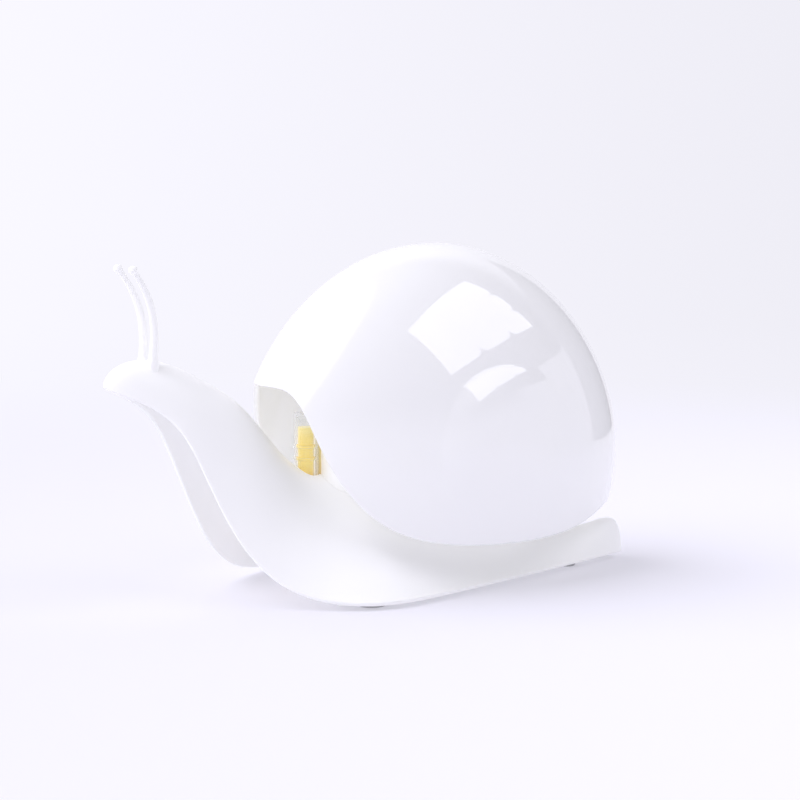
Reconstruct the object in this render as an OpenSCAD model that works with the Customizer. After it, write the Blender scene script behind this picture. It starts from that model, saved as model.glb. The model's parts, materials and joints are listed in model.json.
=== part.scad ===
// Snail-shaped countertop soap dispenser, worked by pressing its shell down.
// Millimetres. +Z up, the head towards -X, X-Z is the plane of symmetry.
// Origin: on the surface it stands on, half way between the nose and the tip of the tail.

/* [Body] */
// Length from the nose to the tip of the tail
body_length = 228; // [200:1:280]
// Greatest width of the foot
foot_width = 97; // [86:1:120]
// Height of the tip of the nose
nose_z = 83.5; // [80:0.5:90]
// Wall of the body moulding
body_wall = 2; // [1.5:0.1:2.5]
// Gap between the surface below and the edge of the foot
sole_gap = 1.2; // [1:0.1:2]

/* [Shell] */
// Length of the shell
shell_length = 164.4; // [150:0.1:200]
// Width of the shell
shell_width = 100; // [92:1:124]
// Height of the top of the shell
shell_top_z = 135.3; // [132:0.1:165]
// Height at which the shell is widest
shell_mid_z = 49.3; // [44:0.1:54]
// Place of the middle of the shell along the body
shell_mid_x = 23.3; // [18:0.1:28]
// Depth of the full shell below its widest level, before the rim is cut
shell_keel = 72.8; // [68:0.1:80]
// Wall of the shell moulding
shell_wall = 2; // [1.5:0.1:2.5]
// Height of the rim at the sides
rim_side_z = 18.5; // [16:0.5:24]
// Height of the rim over the neck
rim_crown_z = 81.2; // [78:0.1:90]
// Height of the rim over the tail
rim_tail_z = 30.3; // [28:0.1:36]
// Radius of the raised whorl on each side
whorl_radius = 33; // [27:0.5:40]
// Height of the raised whorl
whorl_rise = 2.6; // [1:0.1:4]
// How far the shell travels when it is pressed
press_travel = 8; // [4:0.5:9]

/* [Tank] */
// Length of the tank without its sight tube
tank_length = 64; // [54:1:72]
// Width of the tank
tank_width = 30; // [25:1:36]
// Height of the tank
tank_height = 66.8; // [60:0.1:70]
// Wall of the tank
tank_wall = 1.5; // [1:0.1:2]
// Radius of the tank's front corners
tank_nose_r = 10.2; // [6:0.1:12]
// Diameter of the sight tube at the front of the tank
sight_d = 8.6; // [7:0.1:10.4]
// Wall of the sight tube
sight_wall = 1.1; // [0.8:0.1:1.4]
// Height of the bottom of the sight tube
sight_low_z = 24; // [20:1:34]
// Height of the soap's level
soap_level_z = 64.5; // [50:0.5:66]

/* [Pump] */
// Place of the pump along the body
pump_x = 12; // [10:0.5:16]
// Bore of the pump barrel
bore_d = 10; // [8:0.1:12]
// Wall of the pump barrel
barrel_wall = 1.5; // [1.2:0.1:2]
// Diameter of the hollow stem
stem_d = 5.6; // [4.6:0.1:6.8]
// Diameter of the valve ball
ball_d = 4.8; // [4:0.1:5.8]
// How far the valve ball lifts
ball_lift = 1.2; // [0.8:0.1:1.5]
// Wire of the return spring
wire_d = 0.9; // [0.7:0.05:1.1]

/* [Guides] */
// Diameter of the two guide rods
rod_d = 6; // [5:0.1:7.2]
// Distance between the guide rods
rod_span = 16; // [15:0.5:20]

/* [Hose] */
// Outer diameter of the hose
hose_d = 5; // [4.1:0.1:6]
// Bore of the hose
hose_bore = 3.2; // [2.6:0.1:3.8]

/* [Antennae] */
// Diameter of an antenna at its foot
antenna_d = 3.5; // [2.9:0.1:4.2]
// Diameter of an antenna below its ball
antenna_tip_d = 2.2; // [1.8:0.1:2.6]
// Diameter of the ball on an antenna
antenna_ball_d = 3.4; // [2.8:0.1:4.2]

/* [Base] */
// Thickness of the base plate
plate_t = 2.5; // [2:0.1:3]
// Wall of the cradle that holds the tank
cradle_wall = 1.5; // [1.2:0.1:2]
// Diameter of the front foot pads
pad_d = 12; // [10:0.5:14]
// Diameter of the rear foot pads
rear_pad_d = 8; // [6:0.5:9]
// Diameter of the self-tapping screws
screw_d = 3; // [2.5:0.1:3.6]

/* [Clearances] */
// Running fit on a rod, stem or piston, on the radius
running_gap = 0.05; // [0.03:0.01:0.08]
// Seat of a part that is pushed or screwed home, on the radius
seat_gap = 0.05; // [0.02:0.01:0.1]
// Space around a part that drops in or moves past
free_gap = 0.5; // [0.4:0.1:0.8]

/* [Hidden] */
$fn = 64;

// Heights of the stack, from the floor up
plate_top_z = sole_gap + plate_t;
lip_z = sole_gap + body_wall;
tank_z = plate_top_z + cradle_wall;
tank_top_z = tank_z + tank_height;
seal_t = 1;
lid_z = tank_top_z + seal_t;
lid_t = 2.5;
neck_h = 10.5;
neck_top_z = lid_z + lid_t + neck_h;
gasket_t = 0.8;
flange_z = neck_top_z + gasket_t;
flange_t = 1.5;
collar_roof_z = flange_z + flange_t + 0.1;
collar_top_z = collar_roof_z + 1.8;
actuator_z = collar_top_z + press_travel + free_gap;
actuator_h = 9.3;
press_z = actuator_z + actuator_h;
press_t = 3;
press_top_z = press_z + press_t;

// Tank and cradle
tank_x0 = -26;
tank_x1 = tank_x0 + tank_length;
tank_back_r = 4;
cradle_gap = 0.3;
cradle_out = cradle_gap + cradle_wall;
cradle_half = tank_width / 2 + cradle_out;
cradle_top_z = tank_z + 55;
sight_x = tank_x0 - 7;
sight_top_z = tank_top_z - 2;
sight_ring_d = sight_d + 1.2;
sight_ring_h = 0.9;
sight_rings_z = [52.2, 57];
web_w = 5;
passage_d = 2.4;
passages_z = [sight_low_z + 8, sight_top_z - 2.5];

// Pump
piston_h = 8;
shoulder_h = 4.3;
stem_hole_d = stem_d / 2;
cage_t = 1;
cage_gap = 0.36;
seat_z = 46.5;
seat_cone_r = 1.2;
seat_cone_h = 2;
nipple_r = 2.4;
nipple_h = 6;
dip_low_z = tank_z + tank_wall + 2.3;
ball_r = ball_d / 2;
cage_bore_r = ball_r + 0.2;
cone_run = cage_bore_r - seat_cone_r;
cone_len = norm([cone_run, seat_cone_h]);
ball_rest_gap = 0.04;
ball_z = seat_z + (((ball_r + ball_rest_gap) * cone_len - seat_cone_r * seat_cone_h) / cone_run);
ledge_z = ball_z + ball_r + ball_lift + cage_gap;
barrel_r = bore_d / 2 + barrel_wall;
neck_bore_r = barrel_r + 1.5;
neck_r = neck_bore_r + 3.9;
thread_rise = 0.6;
collar_bore_r = neck_r + thread_rise + 0.4;
collar_r = collar_bore_r + 2.1;
piston_top_z = flange_z + flange_t - shoulder_h;
piston_z = piston_top_z - piston_h;
spring_z = ledge_z + cage_t;
spring_r = bore_d / 2 - running_gap - wire_d / 2 - 0.4;
spring_turns = 7;

// Guides
rod_x = tank_x1 + 12;
rod_r = rod_d / 2;
bush_r = rod_r + running_gap + 1.2;
bush_h = 12;
sleeve_r = bush_r + seat_gap + 1.6;
sleeve_h = 24;
socket_r = rod_r + seat_gap + 2.4;
socket_h = 12;
rod_top_z = press_z - press_travel - 2;

// Press plate, its screws and the posts of the shell
press_x0 = -8;
press_x1 = rod_x + sleeve_r + 2;
press_half = max(18, rod_span / 2 + sleeve_r + 1);
post_r = 3.5;
post_y = 12;
posts = [for (x = [press_x0 + 6, rod_x - sleeve_r - 8], y = [-post_y, post_y]) [x, y]];
post_screw_h = 10;
head_r = screw_d;
head_h = 0.55 * screw_d;

// Hose
hose_r = hose_d / 2;
hose_y = cradle_half + hose_r + 1.2;
HOSE_SIDES = 12;
barb_r = hose_bore / 2 * cos(180 / HOSE_SIDES) - seat_gap;
outlet_z = actuator_z + 3.6;
outlet_low_z = outlet_z - 8;
joiner = [-14, hose_y, 25];
hose_notch = [pump_x - 20, pump_x + 8];

// Base
plate_inset = 6;
plate_front_x = -36;
plate_back_x = 102;
pad_sink = 0.6;
pads = [[-22, -35, pad_d], [-22, 35, pad_d], [84, -5.5, rear_pad_d], [84, 5.5, rear_pad_d]];
base_screws_at = [[-10, -30], [-10, 30], [69, -9], [69, 9]];
boss_r = screw_d / 2 + 1.9;
base_screw_h = 11;

// Head
antenna_x = -97;
antenna_y = 5.5;
root_r = antenna_d / 2 + 0.35;
ROOT_H = 7;
nozzle_x = -95;
nozzle_r = 3.4;

// Sections of the body, nose to tail, at the design length and width:
// [ridge x, ridge z, edge x, edge half width, edge z, fullness]. The fullness is the power on the
// arch: 1 is half an ellipse, 2 a parabola and 3 a bell whose foot runs out flat.
DESIGN_LENGTH = 228;
DESIGN_WIDTH = 97;
SECTIONS = [
    [-114, nose_z, -114, 0, nose_z, 1],
    [-114, nose_z + 3.5, -113.5, 4, nose_z - 1, 1],
    [-107, 93.5, -107, 8.5, 80, 1],
    [-92, 93.5, -92, 14.5, 73, 1],
    [-76, 85, -84, 17, 57, 1],
    [-61, 76.3, -77, 18, 40, 1.05],
    [-48.5, 60, -69.5, 21.5, 24, 1.2],
    [-37, 47, -59, 28, 10, 1.6],
    [-22, 45.5, -43, 38, lip_z - 0.5, 2.2],
    [-8, 50, -22, 51, lip_z, 2.8],
    [12, 50, 8, 41.5, lip_z, 3],
    [40, 39, 40, 30.5, lip_z, 3],
    [68, 22, 68, 21.5, lip_z, 2.4],
    [92, 12.5, 92, 13.5, lip_z, 1.8],
    [108, 19, 106, 8, lip_z, 1.6],
    [114.5, 15, 114, 5, lip_z - 0.5, 1.5],
    [114, lip_z, 114, 0, lip_z, 1.5]
];
LONG = body_length / DESIGN_LENGTH;
WIDE = foot_width / DESIGN_WIDTH;
FRAMES = [for (s = SECTIONS) [s[0] * LONG, s[1], s[2] * LONG, s[3] * WIDE, s[4], s[5]]];

// ---- Curves ----

// A point on the cubic B-spline that starts and ends on the first and last of the points c
function spline(c, u) =
    let (n = len(c), s = max(0, min(u, 1)) * (n - 1), i = min(floor(s), n - 2), f = s - i,
         before = i > 0 ? c[i - 1] : 2 * c[0] - c[1],
         after = i < n - 2 ? c[i + 2] : 2 * c[n - 1] - c[n - 2])
    (before * pow(1 - f, 3) + c[i] * (3 * pow(f, 3) - 6 * f * f + 4)
        + c[i + 1] * (-3 * pow(f, 3) + 3 * f * f + 3 * f + 1) + after * pow(f, 3)) / 6;

function unit(v) = v / norm(v);

// ---- Body surface ----

// Outer skin: u runs nose to tail, a runs over the arch from one edge (0) to the other (180)
function skin(u, a) =
    let (s = spline(FRAMES, u), h = pow(sin(a), s[5]))
    [s[2] + (s[0] - s[2]) * h, s[3] * cos(a), s[4] + (s[1] - s[4]) * h];

// Unit normal of the skin, into the body
function inward(u, a) =
    let (du = 0.002, da = 1)
    unit(cross(skin(min(u + du, 1), a) - skin(max(u - du, 0), a),
               skin(u, min(a + da, 180)) - skin(u, max(a - da, 0))));

// A point at a depth below the skin
function below(u, a, depth) = skin(u, a) + depth * inward(u, a);

// The u at which the edge of the foot passes x, by halving
function u_at(x, lo = 0.3, hi = 1, left = 18) =
    left == 0 ? (lo + hi) / 2
    : let (mid = (lo + hi) / 2) spline(FRAMES, mid)[2] < x ? u_at(x, mid, hi, left - 1)
    : u_at(x, lo, mid, left - 1);

// Height of the skin over a point of the foot behind the neck
function roof_z(x, y) =
    let (s = spline(FRAMES, u_at(x))) s[4] + (s[1] - s[4]) * pow(1 - pow(y / s[3], 2), s[5] / 2);

// Height of the skin over a point of the head, where the sections stand upright
function head_z(x, y) =
    let (s = spline(FRAMES, u_at(x, 0.05, 0.25))) s[4] + (s[1] - s[4]) * pow(1 - pow(y / s[3], 2), s[5] / 2);

BODY_ROWS = 58;
BODY_COLS = 26;
U_FIRST = 0.055;
U_LAST = 0.965;

// Closed thin-walled boat: an outer and an inner grid, a pole at each end of both, and the edge between
module body_moulding() {
    ups = [for (j = [0 : BODY_COLS]) 180 * j / BODY_COLS];
    outer = [for (i = [1 : BODY_ROWS - 1], a = ups) skin(i / BODY_ROWS, a)];
    lining_u = [for (i = [1 : BODY_ROWS - 1]) U_FIRST + (U_LAST - U_FIRST) * (i - 1) / (BODY_ROWS - 2)];
    inner = [for (u = lining_u, a = ups) below(u, a, body_wall)];
    w = BODY_COLS + 1;
    last = (BODY_ROWS - 2) * w;
    nose_in = (inner[0] + inner[BODY_COLS]) / 2 - [0.8, 0, 0];
    tail_in = (inner[last] + inner[last + BODY_COLS]) / 2 + [0.8, 0, 0];
    points = concat([skin(0, 90)], outer, [skin(1, 90)], [nose_in], inner, [tail_in]);
    side = len(outer) + 2;
    function at(shell, i, j) = shell * side + 1 + (i - 1) * w + j;
    function grid(shell) = [for (i = [1 : BODY_ROWS - 2], j = [0 : BODY_COLS - 1], k = [0, 1])
        k == 0 ? [at(shell, i, j), at(shell, i, j + 1), at(shell, i + 1, j + 1)]
               : [at(shell, i, j), at(shell, i + 1, j + 1), at(shell, i + 1, j)]];
    function caps(shell) = [for (j = [0 : BODY_COLS - 1], k = [0, 1])
        k == 0 ? [shell * side, at(shell, 1, j + 1), at(shell, 1, j)]
               : [(shell + 1) * side - 1, at(shell, BODY_ROWS - 1, j), at(shell, BODY_ROWS - 1, j + 1)]];
    function flip(faces) = [for (f = faces) [f[2], f[1], f[0]]];
    function rim(j) = concat(
        [[0, at(0, 1, j), side], [side, at(0, 1, j), at(1, 1, j)]],
        [for (i = [1 : BODY_ROWS - 2], k = [0, 1])
            k == 0 ? [at(0, i, j), at(0, i + 1, j), at(1, i, j)]
                   : [at(1, i, j), at(0, i + 1, j), at(1, i + 1, j)]],
        [[at(0, BODY_ROWS - 1, j), side - 1, at(1, BODY_ROWS - 1, j)],
         [at(1, BODY_ROWS - 1, j), side - 1, 2 * side - 1]]);
    outside = concat(grid(0), caps(0));
    inside = flip(concat(grid(1), caps(1)));
    polyhedron(points, concat(outside, inside, flip(rim(0)), rim(BODY_COLS)));
}

// ---- Shell surface ----

SHELL_A = shell_length / 2;
SHELL_B = shell_width / 2;
SHELL_UP = shell_top_z - shell_mid_z;
SHELL_C = (SHELL_UP + shell_keel) / 2;
SHELL_D = (SHELL_UP - shell_keel) / 2;
WHORL_X = shell_mid_x + 9.7;
WHORL_Z = shell_mid_z + 7.7;
WHORL_SHOULDER = 13;
WHORL_LEAN = 125;
WHORL_OFFSET = 14;
WHORL_FADE = 46;

function smooth(t) = let (s = max(0, min(1, t))) s * s * (3 - 2 * s);

// Rise of the whorl over the plain dome: a round shoulder, highest at the upper front and fading behind
function whorl(x, z) =
    let (dx = x - WHORL_X, dz = z - WHORL_Z, r = norm([dx, dz]),
         along = dx * cos(WHORL_LEAN) + dz * sin(WHORL_LEAN))
    whorl_rise * smooth((whorl_radius - r) / WHORL_SHOULDER) * smooth((along + WHORL_OFFSET) / WHORL_FADE);

// Height of the rim at an azimuth: 0 is over the tail, 180 over the neck
function rim_z(phi) =
    let (p = abs(phi > 180 ? phi - 360 : phi))
    rim_side_z + (rim_crown_z - rim_side_z) / (1 + pow((180 - p) / 43.2, 5))
        + (rim_tail_z - rim_side_z) / (1 + pow(p / 48, 5));

// Sine of the latitude at which the dome, thinned by inset, is at height z
function lat_sine(z, inset = 0) =
    let (c = SHELL_C - inset) (sqrt(c * c + 4 * SHELL_D * (z - shell_mid_z)) - c) / (2 * SHELL_D);

// A point of the dome, thinned by inset
function dome(phi, s, inset) =
    let (q = sqrt(max(0, 1 - s * s)), x = shell_mid_x + (SHELL_A - inset) * q * cos(phi),
         z = shell_mid_z + (SHELL_C - inset) * s + SHELL_D * s * s)
    [x, (SHELL_B - inset) * q * sin(phi) + sin(phi) * whorl(x, z), z];

// Height of the inside of the dome over a point
function ceiling_z(x, y) =
    let (q = norm([(x - shell_mid_x) / (SHELL_A - shell_wall), y / (SHELL_B - shell_wall)]),
         s = sqrt(1 - q * q))
    shell_mid_z + (SHELL_C - shell_wall) * s + SHELL_D * s * s;

SHELL_COLS = 76;
SHELL_ROWS = 20;

// Closed dome of even wall: rows from the rim to a pole at the top, outside and inside
module shell_moulding() {
    function row(i, j, inset) =
        let (phi = 360 * i / SHELL_COLS, low = asin(lat_sine(rim_z(phi), inset)),
             lat = low + (90 - low) * j / SHELL_ROWS)
        dome(phi, sin(lat), inset);
    function skin_points(inset) = [for (j = [0 : SHELL_ROWS - 1], i = [0 : SHELL_COLS - 1]) row(i, j, inset)];
    side = SHELL_ROWS * SHELL_COLS + 1;
    points = concat(skin_points(0), [dome(0, 1, 0)], skin_points(shell_wall), [dome(0, 1, shell_wall)]);
    function at(shell, i, j) = shell * side + j * SHELL_COLS + i % SHELL_COLS;
    function faces(shell) = concat(
        [for (j = [0 : SHELL_ROWS - 2], i = [0 : SHELL_COLS - 1], k = [0, 1])
            k == 0 ? [at(shell, i, j), at(shell, i + 1, j + 1), at(shell, i + 1, j)]
                   : [at(shell, i, j), at(shell, i, j + 1), at(shell, i + 1, j + 1)]],
        [for (i = [0 : SHELL_COLS - 1])
            [at(shell, i, SHELL_ROWS - 1), (shell + 1) * side - 1, at(shell, i + 1, SHELL_ROWS - 1)]]);
    function flip(faces) = [for (f = faces) [f[2], f[1], f[0]]];
    rim = [for (i = [0 : SHELL_COLS - 1], k = [0, 1])
        k == 0 ? [at(0, i, 0), at(0, i + 1, 0), at(1, i + 1, 0)]
               : [at(0, i, 0), at(1, i + 1, 0), at(1, i, 0)]];
    polyhedron(points, concat(faces(0), flip(faces(1)), rim));
}

// ---- Shared shapes ----

// Plate with rounded corners: one radius at its front, another at its back
module rounded_block(x0, x1, half, r0, r1, h) {
    linear_extrude(h) union() {
        translate([x0 + r0, -half]) square([x1 - x0 - r0 - r1, 2 * half]);
        for (end = [[x0 + r0, r0, -1], [x1 - r1, r1, 1]]) {
            translate([end[0] - end[1] * (end[2] < 0 ? 1 : 0), -half + end[1]])
                square([end[1], 2 * (half - end[1])]);
            for (y = [-1, 1])
                translate([end[0], y * (half - end[1])]) circle(end[1]);
        }
    }
}

// The tank's outline, grown by an amount
module tank_block(grow, h) {
    rounded_block(tank_x0 - grow, tank_x1 + grow, tank_width / 2 + grow, tank_nose_r + grow,
        tank_back_r + grow, h);
}

// Ring or tube standing on z = 0
module tube(r, bore, h) {
    difference() {
        cylinder(r = r, h = h);
        translate([0, 0, -1]) cylinder(r = bore, h = h + 2);
    }
}

// Turns the child's +Z to a direction and moves it to a place
module aimed(at, dir) {
    d = unit(dir);
    translate(at) rotate([0, acos(d[2]), atan2(d[1], d[0])]) children();
}

// Round tube swept along the spline through the points c, with a bore when bore is more than 0
module swept(c, rings, sides, r0, r1, bore = 0) {
    path = [for (i = [0 : rings]) spline(c, i / rings)];
    ways = [for (i = [0 : rings])
        unit(spline(c, min(1, (i + 0.5) / rings)) - spline(c, max(0, (i - 0.5) / rings)))];
    function across(t) = unit(cross(t, [0.15, 1, 0.1]));
    function ring(i, r) =
        let (a = across(ways[i]), b = cross(ways[i], a))
        [for (k = [0 : sides - 1]) path[i] + r * (a * cos(360 * k / sides) + b * sin(360 * k / sides))];
    shells = bore > 0 ? 2 : 1;
    side = (rings + 1) * sides;
    points = [for (s = [0 : shells - 1], i = [0 : rings], p = ring(i, s == 0 ? r0 + (r1 - r0) * i / rings : bore)) p];
    function at(s, i, k) = s * side + i * sides + k % sides;
    function wall(s) = [for (i = [0 : rings - 1], k = [0 : sides - 1], h = [0, 1])
        h == 0 ? [at(s, i, k), at(s, i + 1, k), at(s, i + 1, k + 1)]
               : [at(s, i, k), at(s, i + 1, k + 1), at(s, i, k + 1)]];
    function flip(faces) = [for (f = faces) [f[2], f[1], f[0]]];
    function annulus(i) = [for (k = [0 : sides - 1], h = [0, 1])
        h == 0 ? [at(0, i, k), at(0, i, k + 1), at(1, i, k + 1)] : [at(0, i, k), at(1, i, k + 1), at(1, i, k)]];
    ends = bore > 0 ? concat(annulus(0), flip(annulus(rings)))
        : [[for (k = [0 : sides - 1]) at(0, 0, k)], [for (k = [0 : sides - 1]) at(0, rings, sides - 1 - k)]];
    polyhedron(points, concat(wall(0), bore > 0 ? flip(wall(1)) : [], ends));
}

// Self-tapping screw: its head below z = 0 and its shank above, with a cross recess in the head
module screw(shank_h) {
    difference() {
        union() {
            translate([0, 0, -head_h]) cylinder(r = head_r, h = head_h);
            cylinder(r = screw_d / 2, h = shank_h - 1);
            translate([0, 0, shank_h - 1]) cylinder(r1 = screw_d / 2, r2 = screw_d / 6, h = 1);
        }
        for (turn = [0, 90])
            rotate(turn) translate([-head_r * 0.6, -0.35, -head_h - 1]) cube([head_r * 1.2, 0.7, 1 + head_h * 0.6]);
    }
}

// ---- Body and what is fixed to it ----

module body() {
    color("white") difference() {
        union() {
            body_moulding();
            for (p = base_screws_at)
                translate([p[0], p[1], plate_top_z])
                    cylinder(r = boss_r, h = roof_z(p[0], abs(p[1]) + boss_r) - 0.7 - plate_top_z);
        }
        translate([0, 0, plate_top_z]) {
            tank_block(cradle_out + free_gap, shell_top_z);
            translate([sight_x, 0]) cylinder(d = sight_ring_d + 2 * free_gap, h = shell_top_z);
            translate([sight_x, -web_w / 2 - free_gap])
                cube([tank_x0 - sight_x + 3, web_w + 2 * free_gap, shell_top_z]);
            translate([hose_notch[0], 0])
                cube([hose_notch[1] - hose_notch[0], hose_y + hose_r + 1, shell_top_z]);
            translate([tank_x1, -rod_span / 2 - socket_r - 1])
                cube([rod_x + socket_r + 1 - tank_x1, rod_span + 2 * socket_r + 2, shell_top_z]);
        }
        for (p = base_screws_at)
            translate([p[0], p[1], 0]) cylinder(d = screw_d + 2 * seat_gap, h = plate_top_z + base_screw_h);
        for (y = [-antenna_y, antenna_y])
            translate([antenna_x * LONG, y, head_z(antenna_x * LONG, antenna_y) - ROOT_H])
                cylinder(r = root_r + seat_gap, h = 3 * ROOT_H);
    }
}

// Outline of the base plate: the edge of the foot moved in, cut off before the neck and at the tail
function plate_half(x) = spline(FRAMES, u_at(x))[3] - plate_inset;

module base_plate() {
    xs = [for (i = [0 : 28]) (plate_front_x + (plate_back_x - plate_front_x) * i / 28) * LONG];
    color("white") difference() {
        union() {
            translate([0, 0, sole_gap]) linear_extrude(plate_t)
                polygon(concat([for (x = xs) [x, plate_half(x)]],
                    [for (i = [28 : -1 : 0]) [xs[i], -plate_half(xs[i])]]));
            translate([0, 0, plate_top_z]) tank_block(cradle_out, cradle_top_z - plate_top_z);
            for (y = [-1, 1])
                translate([rod_x, y * rod_span / 2, plate_top_z]) cylinder(r = socket_r, h = socket_h);
        }
        translate([0, 0, tank_z]) tank_block(cradle_gap, tank_height);
        translate([sight_x, -web_w / 2 - cradle_gap, tank_z]) cube([12, web_w + 2 * cradle_gap, tank_height]);
        for (y = [-1, 1])
            translate([rod_x, y * rod_span / 2, plate_top_z]) cylinder(r = rod_r + seat_gap, h = socket_h + 1);
        for (p = base_screws_at) {
            translate([p[0], p[1], 0]) cylinder(d = screw_d + 2 * seat_gap, h = 2 * plate_top_z);
            translate([p[0], p[1], 0]) cylinder(r = head_r + 0.2, h = sole_gap + head_h);
        }
        for (p = pads)
            translate([p[0], p[1], 0]) cylinder(d = p[2] + 2 * seat_gap, h = sole_gap + pad_sink);
    }
}

module base_screws() {
    color("silver") for (p = base_screws_at)
        translate([p[0], p[1], sole_gap + head_h]) screw(base_screw_h);
}

module foot_pad(i) {
    color("lightgrey") translate([pads[i][0], pads[i][1], 0])
        rotate_extrude() polygon([[0, 0], [pads[i][2] / 2 - 0.4, 0], [pads[i][2] / 2, 0.4],
            [pads[i][2] / 2, sole_gap + pad_sink], [0, sole_gap + pad_sink]]);
}

// Antenna: a peg through the roof of the head, a bowed tapering stalk and a ball
module antenna(hand) {
    x = antenna_x * LONG;
    foot_z = head_z(x, antenna_y);
    color("white") union() {
        translate([x, hand * antenna_y, foot_z + 2 - ROOT_H]) cylinder(r = root_r, h = ROOT_H);
        swept([for (p = [[0, 0, 1], [0.8, 0.5, 10], [0, 1.3, 20], [-3.5, 2.1, 29], [-7.9, 2.8, 35.3]])
                [x + p[0], hand * (antenna_y + p[1]), foot_z + p[2]]], 14, 12, antenna_d / 2, antenna_tip_d / 2);
        translate([x - 7.9, hand * (antenna_y + 2.8), foot_z + 35.6]) sphere(d = antenna_ball_d);
    }
}

// ---- Tank ----

// Solid of revolution of the sight tube, its two level rings and its round bottom; in = -wall gives its bore
module sight_core(in, top_z) {
    r = sight_d / 2 + in;
    ring_r = sight_ring_d / 2 + in;
    translate([sight_x, 0, 0]) {
        translate([0, 0, sight_low_z + sight_d / 2]) sphere(r);
        translate([0, 0, sight_low_z + sight_d / 2]) cylinder(r = r, h = top_z - sight_low_z - sight_d / 2);
        for (z = sight_rings_z)
            translate([0, 0, z - sight_ring_h / 2]) cylinder(r = ring_r, h = sight_ring_h);
    }
}

module tank() {
    color([0.9, 0.95, 0.97, 0.4]) difference() {
        union() {
            translate([0, 0, tank_z]) tank_block(0, tank_height);
            sight_core(0, sight_top_z);
            translate([sight_x, -web_w / 2, sight_low_z + 5])
                cube([tank_x0 - sight_x + tank_wall, web_w, sight_top_z - sight_low_z - 5]);
        }
        translate([0, 0, tank_z + tank_wall]) tank_block(-tank_wall, tank_height);
        sight_core(-sight_wall, sight_top_z - tank_wall);
        for (z = passages_z)
            translate([sight_x, 0, z]) rotate([0, 90, 0]) cylinder(d = passage_d, h = tank_x0 - sight_x + 4);
    }
}

// Soap up to its level, around the dip tube and the barrel
module soap() {
    slack = 0.05;
    color([0.95, 0.75, 0.1]) difference() {
        union() {
            translate([0, 0, tank_z + tank_wall + slack])
                tank_block(-tank_wall - slack, soap_level_z - tank_z - tank_wall - slack);
            sight_core(-sight_wall - slack, soap_level_z);
            translate([sight_x, 0, passages_z[0]]) rotate([0, 90, 0])
                cylinder(d = passage_d - 2 * slack, h = tank_x0 - sight_x + 4);
        }
        translate([pump_x, 0, 0]) {
            cylinder(r = nipple_r + 1.1, h = soap_level_z + 1);
            translate([0, 0, seat_z - 0.6]) cylinder(r = barrel_r + slack, h = soap_level_z);
        }
    }
}

module tank_seal() {
    color("dimgrey") translate([0, 0, tank_top_z]) difference() {
        tank_block(-0.1, seal_t);
        translate([0, 0, -1]) tank_block(0.1 - tank_wall, seal_t + 2);
    }
}

// Thread of the neck as even ribs
module tank_lid() {
    color("white") difference() {
        union() {
            translate([0, 0, lid_z]) tank_block(1, lid_t);
            translate([0, 0, lid_z - 4]) tank_block(-tank_wall - 0.15, 4);
            translate([pump_x, 0, lid_z + lid_t]) cylinder(r = neck_r, h = neck_h);
            for (k = [0 : 2])
                translate([pump_x, 0, lid_z + lid_t + 3 + 2.5 * k]) rotate_extrude()
                    polygon([[neck_r - 1, -0.8], [neck_r, -0.8], [neck_r + thread_rise, -0.2],
                        [neck_r + thread_rise, 0.2], [neck_r, 0.8], [neck_r - 1, 0.8]]);
        }
        translate([0, 0, lid_z - 5]) tank_block(-tank_wall - 1.65, 5);
        translate([pump_x, 0, lid_z - 5]) cylinder(r = neck_bore_r, h = neck_h + 20);
    }
}

// ---- Pump ----

module neck_gasket() {
    color("dimgrey") translate([pump_x, 0, neck_top_z]) tube(neck_r - 0.3, barrel_r + 0.2, gasket_t);
}

// Barrel with its flange, the ledge for the ball's cage, the conical valve seat and the nipple
module pump_barrel() {
    top = flange_z + flange_t;
    low = seat_z - 0.5;
    color("whitesmoke") translate([pump_x, 0, 0]) rotate_extrude()
        polygon([[seat_cone_r, low - nipple_h], [nipple_r, low - nipple_h], [nipple_r, low], [barrel_r, low],
            [barrel_r, flange_z], [neck_r - 0.3, flange_z], [neck_r - 0.3, top], [bore_d / 2, top],
            [bore_d / 2, ledge_z], [cage_bore_r, ledge_z], [cage_bore_r, seat_z + seat_cone_h],
            [seat_cone_r, seat_z]]);
}

// Screw cap with a fluted skirt
module pump_collar() {
    low = lid_z + lid_t + 0.7;
    color("white") translate([pump_x, 0, 0]) difference() {
        translate([0, 0, low]) cylinder(r = collar_r, h = collar_top_z - low);
        translate([0, 0, low - 1]) cylinder(r = collar_bore_r, h = collar_roof_z - low + 1);
        cylinder(r = stem_d / 2 + running_gap, h = 2 * collar_top_z);
        for (k = [0 : 23])
            rotate(15 * k) translate([collar_r + 0.5, 0, low - 1]) cylinder(r = 1, h = collar_roof_z - low - 1, $fn = 24);
    }
}

// Washer on the barrel's ledge that holds the ball down and carries the spring
module ball_cage() {
    color("whitesmoke") translate([pump_x, 0, ledge_z]) tube(bore_d / 2 - 0.1, 1.5, cage_t);
}

module foot_valve_ball() {
    color("silver") translate([pump_x, 0, ball_z]) sphere(d = ball_d);
}

module pump_spring() {
    gap = 0.05;
    h = piston_z - spring_z - wire_d - 2 * gap;
    color("silver") swept([for (i = [-1 : 14 * spring_turns + 1])
            let (t = max(0, min(1, i / (14 * spring_turns))), a = 360 * i / 14)
            [pump_x + spring_r * cos(a), spring_r * sin(a), spring_z + gap + wire_d / 2 + h * t]],
        14 * spring_turns, 6, wire_d / 2, wire_d / 2);
}

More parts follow.
